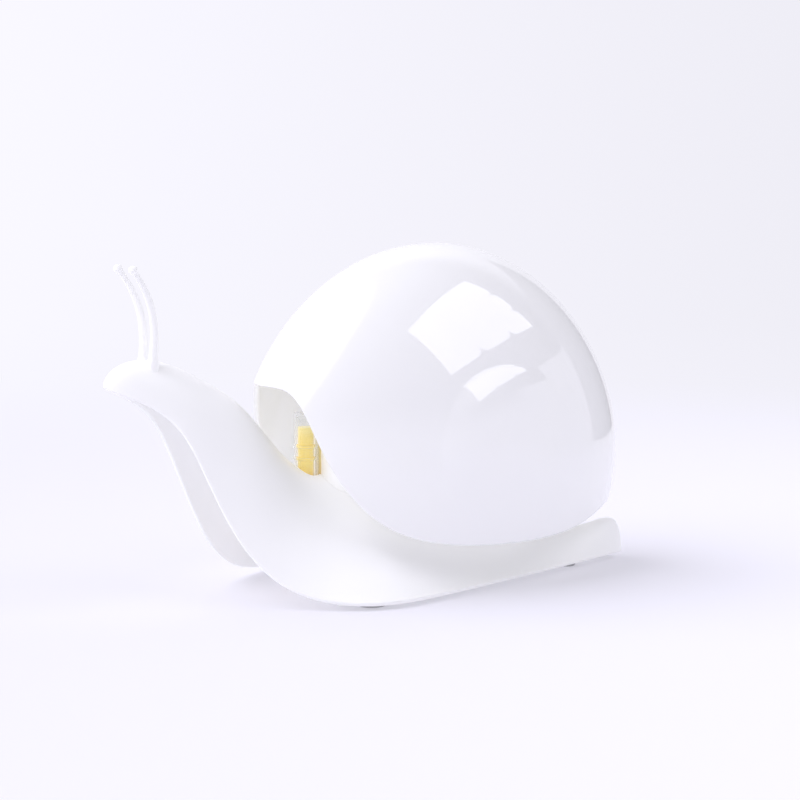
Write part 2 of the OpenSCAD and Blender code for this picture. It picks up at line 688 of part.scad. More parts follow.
module pump_piston() {
    r = bore_d / 2 - running_gap;
    color("gainsboro") translate([pump_x, 0, piston_z]) rotate_extrude()
        polygon([[stem_d / 2 + seat_gap, 0], [r - 0.8, 0], [r, 0.8], [r, 2], [r - 0.9, 2.8],
            [r - 0.9, piston_h - 2.8], [r, piston_h - 2], [r, piston_h - 0.8], [r - 0.8, piston_h],
            [stem_d / 2 + seat_gap, piston_h]]);
}

// Hollow stem: a lip under the piston, a shoulder above it that stops under the collar's roof
module pump_stem() {
    color("whitesmoke") translate([pump_x, 0, 0]) difference() {
        union() {
            translate([0, 0, piston_z - 1.5]) cylinder(r = stem_d / 2 + 0.35, h = 1.5 - seat_gap);
            translate([0, 0, piston_z - 1.5]) cylinder(d = stem_d, h = actuator_z + 5.3 - piston_z + 1.5);
            translate([0, 0, piston_top_z]) cylinder(r = bore_d / 2 - 1, h = shoulder_h);
        }
        translate([0, 0, piston_z - 3]) cylinder(d = stem_hole_d, h = press_z);
    }
}

module dip_tube() {
    color([0.9, 0.9, 0.85, 0.7]) translate([pump_x, 0, 0]) difference() {
        translate([0, 0, dip_low_z]) tube(nipple_r + 0.8 + seat_gap, nipple_r + seat_gap, seat_z - 1 - dip_low_z);
        translate([0, 0, dip_low_z - 2]) rotate([0, -35, 0]) translate([-10, -10, -10]) cube([20, 20, 10]);
    }
}

// Head of the pump: a socket on the stem and a side arm that ends in a barb pointing down
module actuator() {
    arm_r = 2.6;
    color("white") difference() {
        union() {
            translate([pump_x, 0, actuator_z]) cylinder(r = 7, h = actuator_h);
            translate([pump_x, 0, outlet_z]) rotate([-90, 0, 0]) cylinder(r = arm_r, h = hose_y);
            translate([pump_x, hose_y, outlet_z]) sphere(arm_r);
            translate([pump_x, hose_y, outlet_low_z]) cylinder(r = barb_r, h = outlet_z - outlet_low_z);
            translate([pump_x, hose_y, outlet_low_z + 5.2]) cylinder(r = arm_r, h = 2.8);
        }
        translate([pump_x, 0, actuator_z - 1]) cylinder(r = stem_d / 2 + seat_gap, h = 6.3 + seat_gap);
        translate([pump_x, 0, actuator_z]) cylinder(d = stem_hole_d, h = 7);
        translate([pump_x, 0, outlet_z + 1.6]) rotate([-90, 0, 0]) cylinder(r = 0.8, h = hose_y);
        translate([pump_x, hose_y, outlet_low_z - 1]) cylinder(r = 0.8, h = outlet_z - outlet_low_z + 2.6);
    }
}

// ---- Hose ----

UPPER_ROUTE = [[pump_x, hose_y, outlet_low_z + 5], [pump_x, hose_y, 92], [pump_x, hose_y, 84],
    [pump_x + 1, hose_y, 72], [pump_x - 1, hose_y, 58], [pump_x - 6, hose_y, 45], [pump_x - 10, hose_y, 34],
    [pump_x - 15, hose_y, 27], joiner + [7, 0, 0], joiner + [3.5, 0, 0], joiner + [0.3, 0, 0]];
CHANNEL_DROP = 12;
CHANNEL_STEP = 0.03;
CLIP_U = [0.37, 0.28];
NOZZLE_END = [nozzle_x * LONG + nozzle_r + 1, 0, nozzle_z()];
LOWER_ROUTE = concat([joiner - [0.3, 0, 0], joiner - [3.5, 0, 0], joiner - [7, 0, 0]],
    [[-28, cradle_half + 0.5, 26], [-38, 11, 30], [-47, 3, 37]],
    [for (u = [0.40 : -CHANNEL_STEP : 0.24]) channel(u)],
    [for (d = [9, 6, 3, 0]) NOZZLE_END + [d, 0, 0]]);

// Where the hose runs in the neck, below the roof
function channel(u) = below(u, 90, CHANNEL_DROP);

function nozzle_z() = head_z(nozzle_x * LONG, 0) - body_wall - 7.5;

module hose_upper() {
    color([0.9, 0.9, 0.9]) swept(UPPER_ROUTE, 30, HOSE_SIDES, hose_r, hose_r, hose_bore / 2);
}

module hose_lower() {
    color([0.9, 0.9, 0.9]) swept(LOWER_ROUTE, 40, HOSE_SIDES, hose_r, hose_r, hose_bore / 2);
}

// Straight barbed joiner between the two hoses, with a stop flange between their ends
module hose_joiner() {
    color("white") aimed(joiner, [1, 0, 0]) difference() {
        union() {
            translate([0, 0, -3]) cylinder(r = barb_r, h = 6);
            translate([0, 0, -0.25]) cylinder(r = hose_r, h = 0.5);
        }
        translate([0, 0, -7]) cylinder(r = 0.8, h = 14);
    }
}

// Open ring around the hose with a stalk up to the roof of the neck
module hose_clip(i) {
    u = CLIP_U[i];
    place = (channel(u + CHANNEL_STEP) + 4 * channel(u) + channel(u - CHANNEL_STEP)) / 6;
    way = channel(u + CHANNEL_STEP) - channel(u - CHANNEL_STEP);
    reach = CHANNEL_DROP - body_wall - 0.5;
    ring_bore = hose_r + 0.35;
    color("white") aimed(place, way) difference() {
        union() {
            translate([0, 0, -2]) cylinder(r = ring_bore + 1.2, h = 4);
            translate([-reach, -1.2, -2]) cube([reach - ring_bore, 2.4, 4]);
        }
        translate([0, 0, -3]) cylinder(r = ring_bore, h = 6);
        translate([ring_bore * 0.7, -hose_r * 0.8, -3]) cube([4, hose_r * 1.6, 6]);
    }
}

// Outlet under the head: a barb towards the neck, a spout pointing down and a stalk to the roof
module nozzle() {
    x = nozzle_x * LONG;
    z = nozzle_z();
    color("white") difference() {
        union() {
            translate([x, 0, z - 5]) cylinder(r = nozzle_r, h = 8);
            translate([x, 0, z]) cylinder(r = 1.8, h = head_z(x - 1.8, 0) - body_wall - 0.9 - z);
            translate([x, 0, z]) rotate([0, 90, 0]) cylinder(r = barb_r, h = nozzle_r + 5);
        }
        translate([x, 0, z - 6]) cylinder(r = 1.6, h = 7);
        translate([x, 0, z]) rotate([0, 90, 0]) cylinder(r = 0.8, h = nozzle_r + 6);
    }
}

// Soft cap on the spout that closes between strokes
module nozzle_valve() {
    color("gainsboro") translate([nozzle_x * LONG, 0, nozzle_z() - 6.2]) difference() {
        union() {
            cylinder(r = nozzle_r, h = 1.2);
            translate([0, 0, 1.2]) cylinder(r = 1.6 - seat_gap, h = 2);
        }
        translate([0, 0, -1]) cylinder(r = 0.7, h = 5);
    }
}

// ---- Guides and the pressed shell ----

module guide_rod(hand) {
    color("silver") translate([rod_x, hand * rod_span / 2, plate_top_z]) union() {
        cylinder(r = rod_r, h = rod_top_z - plate_top_z - 0.8);
        translate([0, 0, rod_top_z - plate_top_z - 0.8]) cylinder(r1 = rod_r, r2 = rod_r - 0.8, h = 0.8);
    }
}

module guide_bush(hand) {
    color("whitesmoke") translate([rod_x, hand * rod_span / 2, press_z - sleeve_h])
        tube(bush_r, rod_r + running_gap, bush_h);
}

module press_plate() {
    color("white") difference() {
        union() {
            translate([0, 0, press_z]) rounded_block(press_x0, press_x1, press_half, 6, 6, press_t);
            translate([pump_x, 0, press_z - 3]) cylinder(r = 9, h = 3);
            for (y = [-1, 1])
                translate([rod_x, y * rod_span / 2, press_z - sleeve_h]) cylinder(r = sleeve_r, h = sleeve_h);
        }
        translate([pump_x, 0, press_z - 4]) cylinder(r = 7 + seat_gap, h = 4);
        for (y = [-1, 1]) {
            translate([rod_x, y * rod_span / 2, press_z - sleeve_h - 1]) cylinder(r = bush_r + seat_gap, h = bush_h + 1);
            translate([rod_x, y * rod_span / 2, press_z - sleeve_h]) cylinder(r = rod_r + 1, h = sleeve_h - 0.5);
        }
        for (p = posts)
            translate([p[0], p[1], press_z - 1]) cylinder(d = screw_d + 2 * seat_gap, h = press_t + 2);
    }
}

module shell_screws() {
    color("silver") for (p = posts)
        translate([p[0], p[1], press_z]) screw(press_t + post_screw_h);
}

module shell() {
    color("white") difference() {
        union() {
            shell_moulding();
            for (p = posts)
                translate([p[0], p[1], press_top_z])
                    cylinder(r = post_r, h = ceiling_z(p[0] - post_r * sign(shell_mid_x - p[0]), p[1] + sign(p[1]) * post_r)
                        + shell_wall * 0.6 - press_top_z);
        }
        for (p = posts)
            translate([p[0], p[1], press_top_z - 1]) cylinder(d = screw_d + 2 * seat_gap, h = post_screw_h + 1.3);
    }
}

body();
base_plate();
base_screws();
foot_pad(0);  // foot_pad_1
foot_pad(1);  // foot_pad_2
foot_pad(2);  // foot_pad_3
foot_pad(3);  // foot_pad_4
antenna(-1);  // antenna_left
antenna(1);  // antenna_right
tank();
soap();
tank_seal();
tank_lid();
neck_gasket();
pump_barrel();
pump_collar();
ball_cage();
foot_valve_ball();
pump_spring();
pump_piston();
pump_stem();
dip_tube();
actuator();
hose_upper();
hose_joiner();
hose_lower();
hose_clip(0);  // hose_clip_1
hose_clip(1);  // hose_clip_2
nozzle();
nozzle_valve();
guide_rod(-1);  // guide_rod_left
guide_rod(1);  // guide_rod_right
guide_bush(-1);  // guide_bush_left
guide_bush(1);  // guide_bush_right
press_plate();
shell_screws();
shell();
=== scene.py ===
"""Snail-shaped soap dispenser: the looks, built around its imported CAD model.

Lengths in this file are millimetres unless a name says metres, and they are turned into metres when a
mesh is made. The head is towards -X and the object stands on z = 0.
"""

import json
import logging
import math
from dataclasses import dataclass, field
from enum import Enum

import bmesh
import bpy
import numpy as np
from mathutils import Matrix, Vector

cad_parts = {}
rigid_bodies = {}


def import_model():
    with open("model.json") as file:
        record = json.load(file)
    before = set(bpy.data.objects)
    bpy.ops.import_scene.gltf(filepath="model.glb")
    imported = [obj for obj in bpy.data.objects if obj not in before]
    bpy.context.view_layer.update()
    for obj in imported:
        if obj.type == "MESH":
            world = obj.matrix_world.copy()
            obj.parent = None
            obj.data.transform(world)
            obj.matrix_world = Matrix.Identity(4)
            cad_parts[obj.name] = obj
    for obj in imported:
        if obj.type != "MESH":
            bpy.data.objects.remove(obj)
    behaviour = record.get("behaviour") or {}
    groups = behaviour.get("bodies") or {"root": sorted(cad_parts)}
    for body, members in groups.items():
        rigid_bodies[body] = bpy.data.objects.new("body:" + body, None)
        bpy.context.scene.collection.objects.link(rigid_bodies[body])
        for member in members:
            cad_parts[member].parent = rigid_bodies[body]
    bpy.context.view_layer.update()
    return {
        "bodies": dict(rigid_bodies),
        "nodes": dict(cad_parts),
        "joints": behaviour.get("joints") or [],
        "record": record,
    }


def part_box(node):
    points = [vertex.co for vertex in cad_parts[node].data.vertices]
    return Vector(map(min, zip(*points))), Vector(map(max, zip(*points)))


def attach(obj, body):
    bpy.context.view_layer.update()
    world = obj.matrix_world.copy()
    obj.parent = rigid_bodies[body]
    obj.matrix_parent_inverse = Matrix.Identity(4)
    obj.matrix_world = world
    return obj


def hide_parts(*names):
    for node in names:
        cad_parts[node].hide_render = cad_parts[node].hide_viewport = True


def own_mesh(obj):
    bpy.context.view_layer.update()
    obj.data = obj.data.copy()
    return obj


LOG = logging.getLogger("dispenser")
MM = 0.001
Number = float | int
Colour = tuple[float, float, float]


class Body(Enum):
    """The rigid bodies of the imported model."""

    BASE = "base"
    SHELL = "press_shell"


# ---- Node graphs ----


class Wire:
    """A socket that takes part in arithmetic: each operator adds the Math node that does it."""

    def __init__(self, graph: "Graph", socket: bpy.types.NodeSocket) -> None:
        """Keeps the graph and the socket."""
        self.graph = graph
        self.socket = socket

    def _maths(self, operation: str, first: "Wire | Number", second: "Wire | Number") -> "Wire":
        """Adds one Math node.

        Args:
            operation: the node's operation.
            first: its first value.
            second: its second value.

        Returns:
            The wire that leaves it.
        """
        return self.graph.add("ShaderNodeMath", {"operation": operation}, {0: first, 1: second})

    def __add__(self, other: "Wire | Number") -> "Wire":
        """This plus the other."""
        return self._maths("ADD", self, other)

    __radd__ = __add__

    def __sub__(self, other: "Wire | Number") -> "Wire":
        """This less the other."""
        return self._maths("SUBTRACT", self, other)

    def __rsub__(self, other: "Wire | Number") -> "Wire":
        """The other less this."""
        return self._maths("SUBTRACT", other, self)

    def __mul__(self, other: "Wire | Number") -> "Wire":
        """This times the other."""
        return self._maths("MULTIPLY", self, other)

    __rmul__ = __mul__

    def __pow__(self, other: "Wire | Number") -> "Wire":
        """This to the power of the other."""
        return self._maths("POWER", self, other)

    def between(self, low: Number, high: Number) -> "Wire":
        """A smooth step.

        Args:
            low: where it is 0.
            high: where it is 1.

        Returns:
            The wire of the step.
        """
        return self.graph.add(
            "ShaderNodeMapRange",
            {"interpolation_type": "SMOOTHSTEP"},
            {"Value": self, "From Min": low, "From Max": high},
        )


class Graph:
    """The node tree of one material or world."""

    def __init__(self, tree: bpy.types.NodeTree) -> None:
        """Starts with an empty tree."""
        self.tree = tree
        tree.nodes.clear()

    def add(
        self,
        kind: str,
        settings: dict[str, object] | None = None,
        inputs: dict[str | int, object] | None = None,
        out: str | int = 0,
    ) -> Wire:
        """Adds a node: its settings first, then what its sockets get.

        Args:
            kind: the node's type.
            settings: its settings, such as a Math node's operation.
            inputs: a value or a wire for each socket.
            out: the output to carry on from.

        Returns:
            The wire of that output.
        """
        node = self.tree.nodes.new(kind)
        for name, value in (settings or {}).items():
            setattr(node, name, value)
        for key, value in (inputs or {}).items():
            if isinstance(value, Wire):
                self.tree.links.new(value.socket, node.inputs[key])
            elif isinstance(value, tuple) and len(value) == 3 and node.inputs[key].type == "RGBA":
                node.inputs[key].default_value = (*value, 1.0)
            else:
                node.inputs[key].default_value = value
        return Wire(self, node.outputs[out]) if len(node.outputs) else Wire(self, None)

    def place(self) -> Wire:
        """Object coordinates, in metres."""
        return self.add("ShaderNodeTexCoord", out="Object")

    def mark(self, name: str) -> Wire:
        """A number that the mesh carries at each point, such as how far inside a wall it lies."""
        return self.add("ShaderNodeAttribute", {"attribute_type": "GEOMETRY", "attribute_name": name}, None, "Fac")

    def stretched(self, scale: tuple[float, float, float]) -> Wire:
        """Object coordinates scaled along each axis.

        Args:
            scale: the three factors.

        Returns:
            The wire of the scaled place.
        """
        return self.add("ShaderNodeMapping", {"vector_type": "POINT"}, {"Vector": self.place(), "Scale": scale})

    def noise(self, per_metre: float, detail: float = 2.0, at: Wire | None = None) -> Wire:
        """Fractal noise from 0 to 1.

        Args:
            per_metre: how many times it changes along a metre.
            detail: how many finer layers it has.
            at: the place to read it at, or None for Object coordinates.

        Returns:
            The wire of its value.
        """
        return self.add(
            "ShaderNodeTexNoise",
            {"noise_dimensions": "3D"},
            {"Vector": at or self.place(), "Scale": per_metre, "Detail": detail, "Roughness": 0.55},
        )

    def blend(self, share: Wire | Number, first: "Wire | Colour", second: "Wire | Colour") -> Wire:
        """A mix of two colours.

        Args:
            share: 0 for the first and 1 for the second.
            first: a colour.
            second: a colour.

        Returns:
            The wire of the mixed colour.
        """
        return self.add("ShaderNodeMix", {"data_type": "RGBA"}, {0: share, 6: first, 7: second}, 2)

    def bump(self, height: Wire, rise_mm: float) -> Wire:
        """A normal tilted by a height.

        Args:
            height: a value from 0 to 1.
            rise_mm: what 1 stands for.

        Returns:
            The wire of the normal.
        """
        return self.add("ShaderNodeBump", None, {"Strength": 1.0, "Distance": rise_mm * MM, "Height": height})

    def surface(self, shader: Wire) -> None:
        """Ends the graph with this shader."""
        self.add("ShaderNodeOutputMaterial", None, {"Surface": shader})


# ---- Finishes ----


@dataclass(frozen=True)
class Moulded:
    """Moulded plastic: a clouded colour, a fine grain from the tool and a slow waviness from cooling.

    Its emission, of strength through, is painted light: an even glow of its own colour that stands in for light coming
    through a thin white wall and bouncing in its hollows. Where the mesh is marked inside, this painted glow is that
    many times stronger.
    """

    name: str
    colour: Colour
    cloud: Colour
    roughness: float
    swing: float
    grain_per_metre: float = 1400.0
    grain_mm: float = 0.004
    wave_per_metre: float = 45.0
    wave_mm: float = 0.03
    coat: float = 0.0
    coat_roughness: float = 0.03
    ior: float = 1.5
    through: float = 0.0
    inside: float = 0.0

    def material(self) -> bpy.types.Material:
        """Makes the material.

        Returns:
            The material of this finish.
        """
        made = bpy.data.materials.new(self.name)
        made.use_nodes = True
        graph = Graph(made.node_tree)
        cloud = graph.noise(28.0, 3.0)
        grain = graph.noise(self.grain_per_metre, 3.0)
        wave = graph.noise(self.wave_per_metre, 1.0)
        worn = graph.noise(160.0, 4.0).between(0.35, 0.75)
        glow = (*self.colour, 1.0)
        # Painted glow: where the mesh is marked inside, the emission colour is scaled up to brighten that face.
        if self.inside:
            glow = graph.blend(graph.mark("inside"), self.colour, tuple(self.inside * c for c in self.colour))
        shader = graph.add(
            "ShaderNodeBsdfPrincipled",
            None,
            {
                "Base Color": graph.blend(cloud.between(0.3, 0.7), self.colour, self.cloud),
                "Roughness": self.roughness + (worn - 0.5) * self.swing + (grain - 0.5) * self.swing,
                "IOR": self.ior,
                # Painted light: this emission makes plastic that is no lamp glow and lifts its shade.
                "Emission Color": glow,
                "Emission Strength": self.through,
                "Coat Weight": self.coat,
                "Coat Roughness": self.coat_roughness,
                "Normal": graph.bump(grain * (self.grain_mm / self.wave_mm) + wave, self.wave_mm),
            },
        )
        graph.surface(shader)
        made.cycles.emission_sampling = "NONE"
        return made


@dataclass(frozen=True)
class Clear:
    """Clear moulded plastic: see-through face on, and white where its wall is seen edge on."""

    name: str
    colour: Colour
    face: float
    edge: float
    roughness: float

    def material(self) -> bpy.types.Material:
        """Makes the material.

        Returns:
            The material of this finish.
        """
        made = bpy.data.materials.new(self.name)
        made.use_nodes = True
        graph = Graph(made.node_tree)
        turned = graph.add("ShaderNodeLayerWeight", None, {"Blend": 0.5}, "Facing")
        flow = graph.noise(90.0, 2.0, graph.stretched((1.0, 1.0, 0.25)))
        fine = graph.noise(1800.0, 2.0)
        shader = graph.add(
            "ShaderNodeBsdfPrincipled",
            None,
            {
                "Base Color": graph.blend(flow, self.colour, (1.0, 1.0, 1.0)),
                "Roughness": self.roughness + fine * 0.04,
                "IOR": 1.49,
                "Alpha": self.face + turned**2.2 * (self.edge - self.face) + (flow - 0.5) * 0.04,
                "Normal": graph.bump(flow + fine * 0.05, 0.02),
            },
        )
        graph.surface(shader)
        made.cycles.emission_sampling = "NONE"
        return made


@dataclass(frozen=True)
class Liquid:
    """Tinted soap: deeper in colour towards the bottom, with a paler zone under its level, and a painted glow in its
    own colour.
    """

    name: str
    deep: Colour
    full: Colour
    pale: Colour
    low_mm: float
    level_mm: float
    deep_zone_mm: float = 11.0
    pale_zone_mm: float = 5.0
    swirl_mm: float = 2.0
    through: float = 0.30

    def material(self) -> bpy.types.Material:
        """Makes the material.

        Returns:
            The material of this finish.
        """
        made = bpy.data.materials.new(self.name)
        made.use_nodes = True
        graph = Graph(made.node_tree)
        height = graph.add("ShaderNodeSeparateXYZ", None, {"Vector": graph.place()}, "Z")
        swirl = graph.noise(120.0, 3.0, graph.stretched((1.0, 1.0, 0.3)))
        unsettled = height + (swirl - 0.5) * (2 * self.swirl_mm * MM)
        off_floor = unsettled.between(self.low_mm * MM, (self.low_mm + self.deep_zone_mm) * MM)
        near_level = height.between((self.level_mm - self.pale_zone_mm) * MM, self.level_mm * MM)
        colour = graph.blend(near_level * 0.7, graph.blend(off_floor, self.deep, self.full), self.pale)
        shader = graph.add(
            "ShaderNodeBsdfPrincipled",
            None,
            {
                "Base Color": colour,
                "Roughness": 0.06 + swirl * 0.05,
                "IOR": 1.38,
                # Painted light: the soap glows in its own colour, standing in for light passing through it.
                "Emission Color": colour,
                "Emission Strength": self.through,
                "Normal": graph.bump(swirl, 0.05),
            },
        )
        graph.surface(shader)
        made.cycles.emission_sampling = "NONE"
        return made


class Lay(Enum):
    """The way that the marks on a metal run: the scale of the marks along x, y and z."""

    TURNED = (0.25, 0.25, 2.5)
    EVEN = (1.0, 1.0, 1.0)


@dataclass(frozen=True)
class Steel:
    """Plated, ground or polished steel."""

    name: str
    colour: Colour
    dull: Colour
    roughness: float
    swing: float
    lay: Lay

    def material(self) -> bpy.types.Material:
        """Makes the material.

        Returns:
            The material of this finish.
        """
        made = bpy.data.materials.new(self.name)
        made.use_nodes = True
        graph = Graph(made.node_tree)
        marks = graph.noise(2600.0, 4.0, graph.stretched(self.lay.value))
        patch = graph.noise(240.0, 3.0).between(0.3, 0.75)
        shader = graph.add(
            "ShaderNodeBsdfPrincipled",
            None,
            {
                "Base Color": graph.blend(patch, self.colour, self.dull),
                "Metallic": 1.0,
                "Roughness": self.roughness + marks * self.swing + patch * self.swing * 0.5,
                "Normal": graph.bump(marks, 0.006),
            },
        )
        graph.surface(shader)
        made.cycles.emission_sampling = "NONE"
        return made


@dataclass(frozen=True)
class Rubber:
    """Soft rubber or silicone: matte, with a fine pebble and a little dust in it."""

    name: str
    colour: Colour
    dust: Colour
    roughness: float
    pebble_per_metre: float = 1100.0
    alpha: float = 1.0

    def material(self) -> bpy.types.Material:
        """Makes the material.

        Returns:
            The material of this finish.
        """
        made = bpy.data.materials.new(self.name)
        made.use_nodes = True
        graph = Graph(made.node_tree)
        pebble = graph.noise(self.pebble_per_metre, 2.0)
        dust = graph.noise(300.0, 5.0).between(0.55, 0.8)
        shader = graph.add(
            "ShaderNodeBsdfPrincipled",
            None,
            {
                "Base Color": graph.blend(dust, self.colour, self.dust),
                "Roughness": self.roughness + pebble * 0.12,
                "Alpha": self.alpha,
                "Normal": graph.bump(pebble, 0.03),
            },
        )
        graph.surface(shader)
        made.cycles.emission_sampling = "NONE"
        return made


# The through values below paint a glow on the white plastics, standing in for light through their thin walls. The
# gloss's inside factor paints the shell's inner face brighter still.
SATIN_WHITE = Moulded(
    "satin_white", (0.93, 0.93, 0.93), (0.92, 0.92, 0.925), roughness=0.40, swing=0.06,
    grain_per_metre=1500.0, grain_mm=0.0025, wave_per_metre=40.0, wave_mm=0.03, through=0.096,
)
GLOSS_WHITE = Moulded(
    "gloss_white", (0.93, 0.93, 0.93), (0.925, 0.925, 0.93), roughness=0.05, swing=0.02,
    grain_per_metre=900.0, grain_mm=0.0003, wave_per_metre=60.0, wave_mm=0.003,
    coat=1.0, coat_roughness=0.006, through=0.039, inside=3.8,
)
INNER_WHITE = Moulded(
    "inner_white", (0.92, 0.92, 0.91), (0.90, 0.90, 0.89), roughness=0.48, swing=0.08,
    grain_per_metre=900.0, grain_mm=0.006, wave_per_metre=60.0, wave_mm=0.04, through=0.15,
)
NATURAL = Moulded("natural_plastic", (0.77, 0.77, 0.72), (0.73, 0.73, 0.68), 0.42, 0.08, 1000.0, 0.006, 80.0, 0.05)
TANK_CLEAR = Clear("tank_clear", (0.90, 0.95, 1.0), 0.10, 0.85, 0.03)
HOSE_CLEAR = Clear("silicone_hose", (0.93, 0.94, 0.93), 0.55, 0.95, 0.22)
TUBE_CLEAR = Clear("dip_tube_clear", (0.93, 0.94, 0.90), 0.45, 0.90, 0.18)
SOAP = Liquid("yellow_soap", (0.86, 0.52, 0.05), (0.87, 0.69, 0.15), (0.88, 0.77, 0.32), 40.0, 64.5)
SEAL = Rubber("seal_grey", (0.33, 0.33, 0.34), (0.42, 0.42, 0.42), 0.55)
PAD = Rubber("pad_rubber", (0.42, 0.42, 0.43), (0.55, 0.55, 0.54), 0.6, 700.0)
VALVE = Rubber("valve_silicone", (0.62, 0.62, 0.60), (0.70, 0.70, 0.68), 0.45, 900.0)
ZINC = Steel("zinc_screw", (0.62, 0.62, 0.64), (0.50, 0.51, 0.53), 0.28, 0.20, Lay.TURNED)
SPRING_WIRE = Steel("spring_wire", (0.66, 0.66, 0.67), (0.55, 0.55, 0.57), 0.22, 0.15, Lay.EVEN)
GROUND_ROD = Steel("ground_rod", (0.70, 0.70, 0.71), (0.62, 0.62, 0.64), 0.14, 0.14, Lay.TURNED)
POLISHED = Steel("polished_ball", (0.76, 0.76, 0.77), (0.70, 0.70, 0.72), 0.05, 0.06, Lay.EVEN)


class Paintbox:
    """Makes each finish once and gives it to pieces."""

    def __init__(self) -> None:
        """Starts empty."""
        self.made: dict[str, bpy.types.Material] = {}

    def paint(self, obj: bpy.types.Object, finish: Moulded | Clear | Liquid | Steel | Rubber, slot: str) -> None:
        """Gives a piece its finish.

        Args:
            obj: a new piece or a CAD node.
            finish: the finish.
            slot: the record's material slot; not used.
        """
        if finish.name not in self.made:
            self.made[finish.name] = finish.material()
        obj.data.materials.clear()
        obj.data.materials.append(self.made[finish.name])

    def paint_nodes(
        self, frame: dict, names: list[str], finish: Moulded | Clear | Liquid | Steel | Rubber, slot: str
    ) -> None:
        """Gives CAD nodes their finish.

        Args:
            names: the nodes.
            finish: the finish.
            slot: the record's material slot.
        """
        for name in names:
            self.paint(frame["nodes"][name], finish, slot)
            LOG.info("dressed %s in %s", name, finish.name)


# ---- Surfaces ----


def unit(v: np.ndarray) -> np.ndarray:
    """Vectors divided by their lengths, along the last axis."""
    return v / np.maximum(np.linalg.norm(v, axis=-1, keepdims=True), 1e-12)


def smooth(t: np.ndarray) -> np.ndarray:
    """Smooth step of t held to 0 and 1: three t squared less two t cubed."""
    s = np.clip(t, 0, 1)
    return s * s * (3 - 2 * s)


def spline(points: np.ndarray, u: np.ndarray) -> np.ndarray:
    """Point on a cubic B-spline that starts and ends on its first and last point.

    The end points are reflected, and each value is the sum of four neighbours weighted by (1 - f) cubed,
    3f cubed - 6f squared + 4, -3f cubed + 3f squared + 3f + 1 and f cubed, over six.

    Args:
        points: one row per control point.
        u: where to read it, from 0 to 1, in one dimension.

    Returns:
        One row per value of u.
    """
    c = np.asarray(points, float)
    held = np.vstack([2 * c[0] - c[1], c, 2 * c[-1] - c[-2]])
    t = np.clip(u, 0, 1) * (len(c) - 1)
    i = np.minimum(t.astype(int), len(c) - 2)
    f = (t - i)[:, None]
    weights = ((1 - f) ** 3, 3 * f**3 - 6 * f**2 + 4, -3 * f**3 + 3 * f**2 + 3 * f + 1, f**3)
    return sum(w * held[i + k] for k, w in enumerate(weights)) / 6


def rounded_outline(x0: float, x1: float, half: float, r0: float, r1: float, per_corner: int = 14) -> np.ndarray:
    """Outline of a plate with round corners: a quarter circle about each corner's centre, in turn.

    Args:
        x0: its front.
        x1: its back.
        half: half its width.
        r0: radius of the two front corners.
        r1: radius of the two back corners.
        per_corner: points on each corner.

    Returns:
        The outline's points, anticlockwise.
    """
    turn = np.linspace(0, np.pi / 2, per_corner)
    corners = ((x1 - r1, half - r1, r1, 0.0), (x0 + r0, half - r0, r0, np.pi / 2),
               (x0 + r0, r0 - half, r0, np.pi), (x1 - r1, r1 - half, r1, 1.5 * np.pi))
    return np.vstack([np.stack([x + r * np.cos(turn + a), y + r * np.sin(turn + a)], 1) for x, y, r, a in corners])


def rectangle(x0: float, x1: float, y0: float, y1: float) -> np.ndarray:
    """The four corners of a rectangle, anticlockwise."""
    return np.array([[x0, y0], [x1, y0], [x1, y1], [x0, y1]], float)


def carried(path: np.ndarray, radius: np.ndarray, sides: int) -> np.ndarray:
    """Circles of given radii carried along a path, square to it.

    Each circle is radius times (a cos t + b sin t), where a is the cross product of the path's direction
    with a fixed vector near Y, and b is square to both.

    Args:
        path: the centres, in order.
        radius: the radius at each.
        sides: points on a circle.

    Returns:
        A grid of points, one row per circle.
    """
    way = unit(np.gradient(path, axis=0))
    across = unit(np.cross(way, [0.15, 1.0, 0.1]))
    up = np.cross(way, across)
    t = np.linspace(0, 2 * np.pi, sides, endpoint=False)[None, :, None]
    circle = across[:, None] * np.cos(t) + up[:, None] * np.sin(t)
    return path[:, None] + np.asarray(radius, float)[:, None, None] * circle


def turned(profile: np.ndarray, centre: tuple[float, float], sides: int) -> np.ndarray:
    """A profile of radius and height turned about a vertical line.

    Args:
        profile: rows of [radius, z].
        centre: the line's x and y.
        sides: points round it.

    Returns:
        A grid of points, one row per row of the profile.
    """
    t = np.linspace(0, 2 * np.pi, sides, endpoint=False)[None, :]
    r, z = profile[:, :1], profile[:, 1:]
    return np.stack([centre[0] + r * np.cos(t), centre[1] + r * np.sin(t), z + 0 * t], -1)


def grid_faces(rows: int, columns: int, wrap_rows: bool, wrap_columns: bool) -> np.ndarray:
    """Corner numbers of the squares between the points of a grid.

    Args:
        rows: its rows.
        columns: its columns.
        wrap_rows: the last row joins the first.
        wrap_columns: the last column joins the first.

    Returns:
        One row of four numbers per square.
    """
    i = np.arange(rows if wrap_rows else rows - 1)[:, None]
    j = np.arange(columns if wrap_columns else columns - 1)[None, :]
    i2, j2 = (i + 1) % rows, (j + 1) % columns
    return np.stack([i * columns + j, i2 * columns + j, i2 * columns + j2, i * columns + j2], -1).reshape(-1, 4)


